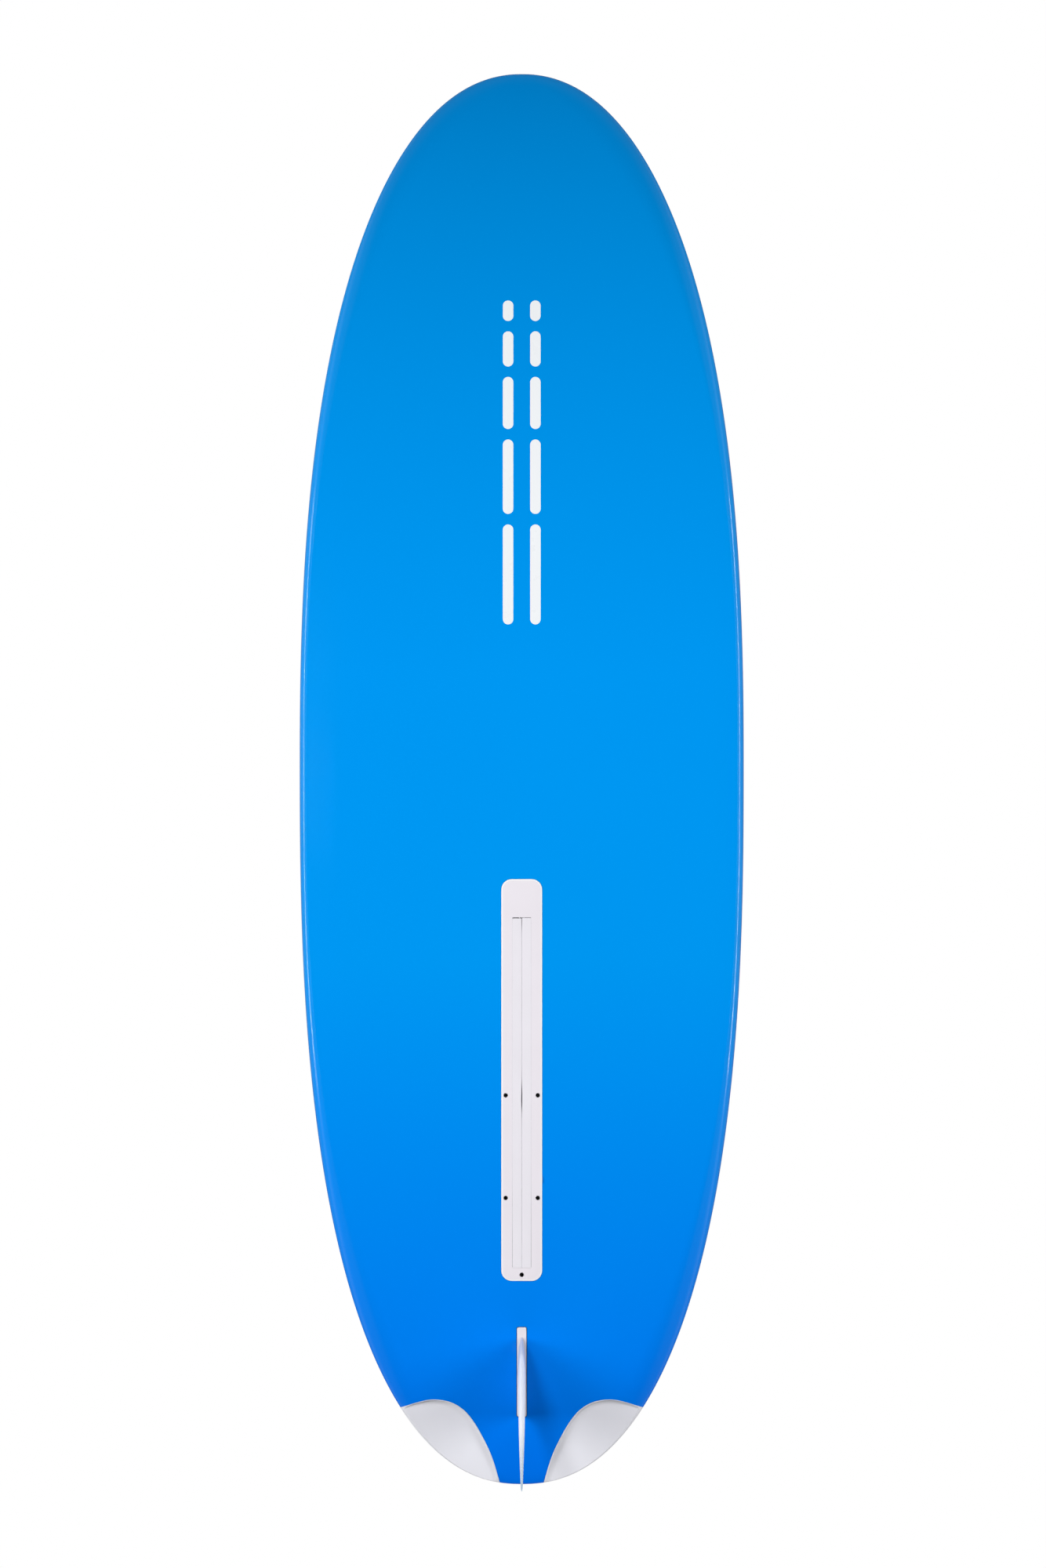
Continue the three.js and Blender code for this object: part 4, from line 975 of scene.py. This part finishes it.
def deck_slot_plate():
    top = DECK_PLATE_TOP
    levels = [(0, DECK_PLATE_BOTTOM), (0, top - 1.2), (-0.35, top - 0.35), (-1.2, top)]
    plate = stack("lever_plate", DECK_PLATE, levels)
    # a thin gasket at the underside closes in on the lever
    gasket_top = DECK_PLATE_BOTTOM + GASKET_THICK
    cut(plate, pocket(LEVER_SLOT, gasket_top, HIGH, 0), pocket(LEVER_GASKET, *DECK_CUT, 0))
    for x, y in DECK_SCREWS:
        cut(plate, rod(SCREW_HOLE, x, y, *DECK_CUT), rod(SCREW_RECESS, x, y, top - SCREW_SINK, HIGH))
    finish(plate, "black_plastic", "deck_slot_plate")


def mast_track():
    top = TRACK_TOP
    levels = [(0, top - SKIN - GAP), (0, top - 1.5), (-0.45, top - 0.45), (-1.5, top)]
    track = stack("mast_foot_track", TRACK, levels)
    body = rounded_rectangle(TRACK_BACK, TRACK_FRONT, 19, TRACK_CORNER)
    join(track, stack("cutter", body, [(0, 96), (0, top - SKIN + 0.7)]))
    back, front = TRACK_BACK + 14, TRACK_FRONT - 14
    lips_under = top - 6
    half, half_slot = 12.5, 5.5
    cut(
        track,
        pocket(rounded_rectangle(back, front, half_slot, 5), lips_under - 1, HIGH, 0),
        box("cutter", back, front, -half, half, lips_under - 11, lips_under),
        pocket(rounded_rectangle(front - 32, front, half, 5), lips_under - 1, HIGH, 0),
    )
    first_tick, tick_pitch, tick_edge = -105, 20, 20.5
    for i in range(11):
        x = first_tick + tick_pitch * i
        length = 8 if i % 5 == 0 else 5
        for side in (1, -1):
            y0, y1 = sorted((side * tick_edge, side * (tick_edge - length)))
            cut(track, box("cutter", x - 0.5, x + 0.5, y0, y1, top - 0.4, HIGH))
    finish(track, "black_plastic", "mast_track")


def vent():
    top = Section(VENT_X).deck
    seat = top - 4
    socket = lathe("vent_body", [(4.3, top - 24), (10.6, top - 24), (11, top - 23.6), (11, top - 0.5),
                                 (10.5, top), (8.6, top), (8.3, top - 0.3), (8.3, seat), (4.3, seat)])
    finish(place(socket, (VENT_X, 0, 0)), "black_plastic", "vent_socket")
    ring = lathe("vent_seal", [(5.9 + c, seat + 1.2 + s) for c, s in circle(16)])
    finish(place(ring, (VENT_X, 0, 0)), "rubber", "vent_o_ring", body="vent_carrier")
    head = seat + 2.5
    screw = lathe("vent_plug", [(0, top - 18), (3.4, top - 18), (4, top - 17.4), (4, head), (7.6, head),
                                (8, head + 0.4), (8, head + 2.9), (7.3, head + 3.5), (0, head + 3.5)])
    cut(screw, box("cutter", -6, 6, -0.9, 0.9, head + 1.5, HIGH))
    finish(place(screw, (VENT_X, 0, 0)), "steel", "vent_screw", body="vent")


# ---- deck pad

PAD_BACK, PAD_FRONT, PAD_INSET, PAD_LIFT, PAD_THICK = -1185, 300, 78, GAP, 4
GROOVE_PITCH, GROOVE_WIDTH, GROOVE_DEPTH, GROOVES_A_SIDE = 13, 2.6, 1.3, 27


def pad_outline(grow):
    reach = PAD_FRONT - PAD_BACK
    side = []
    steps = 90
    for i in range(steps + 1):
        x = PAD_BACK + reach * (1 - math.cos(i / steps * math.pi)) / 2
        rounding = max(0.0, 1 - abs(2 * (x - PAD_BACK) / reach - 1) ** 7) ** 0.5
        side.append((x, (half_width(x) - PAD_INSET) * rounding))
    outline = [(x, -y) for x, y in side] + [(x, y) for x, y in reversed(side)][1:-1]
    return grown(outline, grow) if grow else outline


def deck_pad():
    """Foam that follows the deck, with straight grooves along it and a rounded edge."""
    columns = []
    wide = GROOVE_WIDTH / 2
    floor = 0.45 * wide
    for k in range(-GROOVES_A_SIDE, GROOVES_A_SIDE + 1):
        middle = k * GROOVE_PITCH
        columns += [(middle - wide, 0), (middle - floor, 1), (middle + floor, 1), (middle + wide, 0)]
    rings = []
    for x in np.linspace(PAD_BACK - 20, PAD_FRONT + 20, 160):
        under = [(x, y, deck_height(x, y) + PAD_LIFT) for y, deep in columns]
        top = [(x, y, z + PAD_THICK - GROOVE_DEPTH * deep) for (x, y, z), (_, deep) in zip(under, columns)]
        rings.append(top + under[::-1])
    pad = loft("grip_pad", rings)
    levels = [(0, 40)]
    for inset, height in ((0, 2.6), (0.5, 3.5), (1.8, 4.2)):
        levels.append((-inset, lambda x, y, height=height: deck_height(x, y) + PAD_LIFT + height))
    levels.append((-1.8, HIGH))
    combine(pad, "INTERSECT", stack("cutter", pad_outline, levels))
    cut(pad, pocket(DECK_PLATE, *DECK_CUT, 1), pocket(TRACK, *DECK_CUT, 1))
    cut(pad, rod(WELL_RADIUS + 1 + GAP, FIN_BOLT_X, 0, *AFT_DECK_CUT), *strap_bores(4 + GAP, -PLUG_DEPTH, 30))
    finish(pad, "pad_grey", "deck_pad")


# ---- footstraps

FOOT_TOP = 10
FOOT_MIDDLE = 7.5  # height of the middle of the webbing where it's screwed down
STRAP_END = 98
ARCH_HALF, ARCH_HEIGHT, ARCH_FOOT, ARCH_POWER = 61.5, 56.5, 9, 0.75
WEBBING_THICK, WEBBING_HALF_WIDE = 4.2, 24
SLEEVE_HALF_WIDE = 27
SLEEVE_FROM, SLEEVE_TO = 0.17, 0.83  # shares of the strap's length


def signed_power(value, power):
    return math.copysign(abs(value) ** power, value)


def strap_path(count=150):
    """The strap's middle line in its own frame, as points (x, z) with even spacing: foot, arch, foot."""
    foot = [(-STRAP_END, FOOT_MIDDLE), (-80, FOOT_MIDDLE), (-68, 8)]
    arch = []
    for i in range(41):
        turn = math.pi * i / 40
        across_arch = signed_power(math.cos(turn), ARCH_POWER)
        arch.append((-ARCH_HALF * across_arch, ARCH_FOOT + ARCH_HEIGHT * math.sin(turn) ** ARCH_POWER))
    line = np.array(foot + arch + [(-x, z) for x, z in reversed(foot)])
    for _ in range(3):
        smooth = line.copy()
        smooth[1:-1] = (line[:-2] + 2 * line[1:-1] + line[2:]) / 4
        line = smooth
    lengths = np.concatenate([[0], np.cumsum(np.linalg.norm(np.diff(line, axis=0), axis=1))])
    even = np.linspace(0, lengths[-1], count)
    return np.stack([np.interp(even, lengths, line[:, 0]), np.interp(even, lengths, line[:, 1])], axis=1)


def along_path(path):
    """Each point of a path with its direction and the direction that points out of the strap."""
    tangent = np.gradient(path, axis=0)
    tangent /= np.linalg.norm(tangent, axis=1)[:, None]
    return [(point, along, np.array((-along[1], along[0]))) for point, along in zip(path, tangent)]


def strap_sweep(name, path, thickness, half_wide, sides=40):
    """A soft band swept along the path, with a rounded section, and a UV map for its weave."""
    rings = []
    for k, (point, _, out) in enumerate(along_path(path)):
        half_thick = thickness(k / (len(path) - 1)) / 2
        ring = []
        for c, s in circle(sides):
            x, z = point + out * (half_thick * signed_power(s, 0.7))
            ring.append((x, half_wide * signed_power(c, 0.35), z))
        rings.append(ring)
    band = loft(name, rings)
    uv = band.data.uv_layers.new(name="weave")
    pitch = 1.6
    for loop in band.data.loops:
        k, i = divmod(loop.vertex_index, sides)
        uv.data[loop.index].uv = (k * 1.7 / pitch, rings[k][i][1] / pitch)
    return band


def stitches(name, path, offsets, height):
    """Rows of short raised threads lying along the path, each with narrow ends."""
    vertices, faces = [], []
    length, thread, sides = 2.0, 0.45, 6
    ends = [(-length / 2, 0.25), (-length / 4, 1), (length / 4, 1), (length / 2, 0.25)]
    for y in offsets:
        for point, along, out in along_path(path)[2:-2:2]:
            faces += tube_faces(len(ends), sides, len(vertices))
            for at, share in ends:
                for c, s in circle(sides):
                    p = point + along * at + out * (height + thread * share * s)
                    vertices.append((p[0], y + thread * share * c, p[1]))
    return new_object(name, vertices, faces)


def sleeve_thickness(share):
    """Thick in the middle of the sleeve and thinner at its hems."""
    hem = math.exp(-(min(share, 1 - share) / 0.012) ** 2)
    return 6.2 + 2.6 * math.sin(math.pi * share) ** 0.6 - 1.2 * hem


def footstrap(name, x, y, turn):
    at, rotation = strap_frame(x, y, turn)
    path = strap_path()
    webbing = strap_sweep(f"strap_webbing_{name}", path, lambda share: WEBBING_THICK, WEBBING_HALF_WIDE)
    place(webbing, at, rotation)
    cut(webbing, *[place(rod(2.9, end, 0, 0, 20), at, rotation) for end in (STRAP_SCREW, -STRAP_SCREW)])
    finish(webbing, "webbing", f"footstrap_{name}")
    sleeve_path = path[int(SLEEVE_FROM * len(path)):int(SLEEVE_TO * len(path))]
    sleeve = strap_sweep(f"strap_sleeve_{name}", sleeve_path, sleeve_thickness, SLEEVE_HALF_WIDE)
    finish(place(sleeve, at, rotation), "rubber", look="sleeve")
    threads = stitches(f"strap_stitching_{name}", sleeve_path, (-22, 22), 4.1)
    finish(place(threads, at, rotation), "webbing", look="thread")
    for end, where in (("front", STRAP_SCREW), ("back", -STRAP_SCREW)):
        strap_fastening(f"{name}_{end}", where, at, rotation)


def strap_fastening(name, along, at, rotation):
    head = FOOT_TOP + GAP
    screw = lathe(f"strap_bolt_{name}", [(0, -19), (1.6, -19), (2.5, -18), (2.5, head), (6.2, head),
                                         (6.5, head + 0.4), (6, head + 2.6), (4.9, head + 3.5),
                                         (3.5, head + 3.8), (0, head + 3.8)])
    cut(screw, rod(2, 0, 0, head + 1.4, head + 10, 6))
    plug = lathe(f"strap_insert_{name}", [(0, -27), (8.4, -27), (9, -26.4), (9, -2.1), (8.5, -1.6),
                                          (2.8, -1.6), (2.8, -22), (0, -22)])
    for obj, slot, node in ((screw, "steel", "screw"), (plug, "black_plastic", "plug")):
        place(place(obj, (along, 0, 0)), at, rotation)
        finish(obj, slot, f"strap_{node}_{name}")


# ---- plain graphic on the bottom


def graphic_bar(name, back, front, middle, half):
    """A thin white film on the bottom: one bar along the board, with round corners."""
    rings = []
    columns, rows = 8, 60
    corner = min(half, (front - back) / 2)
    for i in range(rows + 1):
        x = back + (front - back) * (1 - math.cos(math.pi * i / rows)) / 2
        near = min(x - back, front - x, corner)
        wide = half - corner + math.sqrt(max(0.02, corner**2 - (corner - near) ** 2))
        top, under = [], []
        for k in range(columns + 1):
            y = middle + wide * (2 * k / columns - 1)
            z = bottom_height(x, y)
            top.append((x, y, z + 0.3))
            under.append((x, y, z - 0.15))
        rings.append(top + under[::-1])
    finish(loft(name, rings), "plate_white", look="graphic_white")


def bottom_graphic():
    """Two plain broken stripes along the middle, each dash shorter than the last."""
    back, gap, from_centre, half = 294, 20, 26, 10
    for i, length in enumerate((190, 142, 100, 68, 40), 1):
        for name, side in (("port", 1), ("starboard", -1)):
            graphic_bar(f"graphic_bar_{i}_{name}", back, back + length, from_centre * side, half)
        back += length + gap


# ---- stage, light and camera

FLOOR_Z, FLOOR_REACH = -550, 60000
FLOOR_FADE = (1.2, 5.0)  # distances from the board, in metres, between which the floor fades into white
FLOOR_GLOW = 0.55  # how white it is under the board
WHITE = (1, 1, 1, 1)


def stage_floor():
    """A pale floor that fades into the white surround. Only a camera above it sees it."""
    r = FLOOR_REACH
    corners = [(-r, -r, FLOOR_Z), (r, -r, FLOOR_Z), (r, r, FLOOR_Z), (-r, r, FLOOR_Z)]
    floor = new_object("floor", corners, [(0, 1, 2, 3)])
    paper = Finish("floor", (0.8, 0.8, 0.81, 1), 0.9)
    glow = paper.node("Emission", {"Color": WHITE}).outputs["Emission"]
    distance = paper.node("VectorMath", {0: paper.place}, operation="LENGTH").outputs["Value"]
    fade = paper.range(distance, FLOOR_GLOW, 1.0, *FLOOR_FADE)
    surface = paper.mix_shaders(fade, paper.shader.outputs["BSDF"], glow)
    from_below = paper.node("NewGeometry").outputs["Backfacing"]
    not_camera = paper.calculate("SUBTRACT", 1, paper.node("LightPath").outputs["Is Camera Ray"])
    clear = paper.node("BsdfTransparent").outputs["BSDF"]
    seen = paper.mix_shaders(paper.calculate("MAXIMUM", from_below, not_camera), surface, clear)
    paper.link(seen, paper.tree.nodes["Material Output"].inputs["Surface"])
    floor.data.materials.append(paper.material)


def area_light(name, at, size, power, mirrored=False):
    """A lamp that points at the origin. Only a mirrored one is meant to show in the gloss."""
    data = bpy.data.lights.new(name, "AREA")
    data.shape = "RECTANGLE"
    data.size, data.size_y = size
    data.energy = power
    lamp = bpy.data.objects.new(name, data)
    bpy.context.scene.collection.objects.link(lamp)
    lamp.location = Vector(at)
    lamp.rotation_euler = (-Vector(at)).to_track_quat("-Z", "Y").to_euler()
    lamp.visible_glossy = mirrored
    lamp.visible_camera = False


# brightness of the surround by height of its direction, from -1 (straight down) to 1 (straight up), with a
# brighter band a little above the board's rails
SURROUND = [(-1, 0.45), (0.0, 0.45), (0.2, 0.9), (0.4, 0.9), (0.55, 0.15), (1, 0.15)]
# a dark strip lies below the board, from nose to tail, so that the gloss of the bottom stays clear
STRIP_EDGE = (0.55, 0.75)  # sideways part of the direction over which the strip ends
STRIP_TOP = (-0.4, -0.2)  # height of the direction over which it ends


def surround():
    """White to the camera, and soft light by height to everything else."""
    world = bpy.data.worlds.new("studio")
    bpy.context.scene.world = world
    world.use_nodes = True
    sky = Nodes(world.node_tree)
    seen = sky.tree.nodes["Background"]
    seen.inputs["Color"].default_value = WHITE
    direction = sky.parts(sky.node("TexCoord").outputs["Generated"])
    levels = sky.node("FloatCurve")
    curve = levels.mapping.curves[0]
    peak = max(level for _, level in SURROUND)
    curve.points[0].location = (0, SURROUND[0][1] / peak)
    curve.points[1].location = (1, SURROUND[-1][1] / peak)
    for at, level in SURROUND[1:-1]:
        curve.points.new((at + 1) / 2, level / peak)
    for point in curve.points:
        point.handle_type = "VECTOR"
    levels.mapping.update()
    sky.link(sky.range(direction["Z"], 0.0, 1.0, -1.0, 1.0), levels.inputs["Value"])
    brightness = sky.calculate("MULTIPLY", levels.outputs["Value"], peak)
    beside = sky.range(sky.calculate("ABSOLUTE", direction["Y"]), 0.0, 1.0, *STRIP_EDGE)
    above = sky.range(direction["Z"], 0.0, 1.0, *STRIP_TOP)
    outside = sky.calculate("MAXIMUM", beside, above)
    soft = sky.node("Background", {"Strength": sky.calculate("MULTIPLY", brightness, outside)})
    is_camera = sky.node("LightPath").outputs["Is Camera Ray"]
    mix = sky.mix_shaders(is_camera, soft.outputs["Background"], seen.outputs["Background"])
    sky.link(mix, sky.tree.nodes["World Output"].inputs["Surface"])


def light():
    """Three lamps below for the bottom, one above, and a strip on each side that shines along the rail."""
    surround()
    # places and sizes in metres, power in watts
    area_light("below", (0.2, -1.3, -6.0), (0.9, 0.9), 120)
    area_light("below_left", (0.2, -4.0, -4.0), (3.0, 3.0), 158)
    area_light("below_right", (0.2, 4.0, -4.0), (3.0, 3.0), 145)
    area_light("above", (1.2, -2.2, 3.6), (3.0, 3.0), 115)
    for name, side in (("strip_left", -1), ("strip_right", 1)):
        area_light(name, (0, 5.0 * side, 1.6), (2.8, 0.22), 75, mirrored=True)
    bpy.context.scene.view_settings.view_transform = "Standard"


def camera():
    """Square on to the bottom from 8 m below, nose up in the picture."""
    distance, seen_height = 8.0, 2.98  # metres
    over_x, over_y = -0.0093, 0.0024
    data = bpy.data.cameras.new("camera")
    data.sensor_width = 36
    data.lens = data.sensor_width * distance / seen_height
    data.clip_end = 50
    shot = bpy.data.objects.new("camera", data)
    bpy.context.scene.collection.objects.link(shot)
    # columns: picture right is +Y, picture up is +X, and the camera looks along +Z
    shot.matrix_world = Matrix(((0, 1, 0, over_x), (1, 0, 0, over_y), (0, 0, -1, -distance), (0, 0, 0, 1)))
    bpy.context.scene.camera = shot


# ---- build

hull_bottom()
hull_deck()
tail_cutaway("cutaway_port", 1)
tail_cutaway("cutaway_starboard", -1)
bottom_slot_plate()
slot_lip("lip_port", 1)
slot_lip("lip_starboard", -1)
slot_plate_screws()
fin()
fin_fastenings()
centreboard()
lever()
pivot()
deck_slot_plate()
mast_track()
vent()
deck_pad()
for strap, where in STRAPS.items():
    footstrap(strap, *where)
bottom_graphic()
# CAD nodes that keep their shape
for node, slot in {
    "foam_core": "foam",
    "centreboard_case": "black_plastic",
    "fin_box": "black_plastic",
    "friction_pad_port": "rubber",
    "friction_pad_starboard": "rubber",
}.items():
    paint_all(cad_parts[node], slot)
stage_floor()
light()
camera()
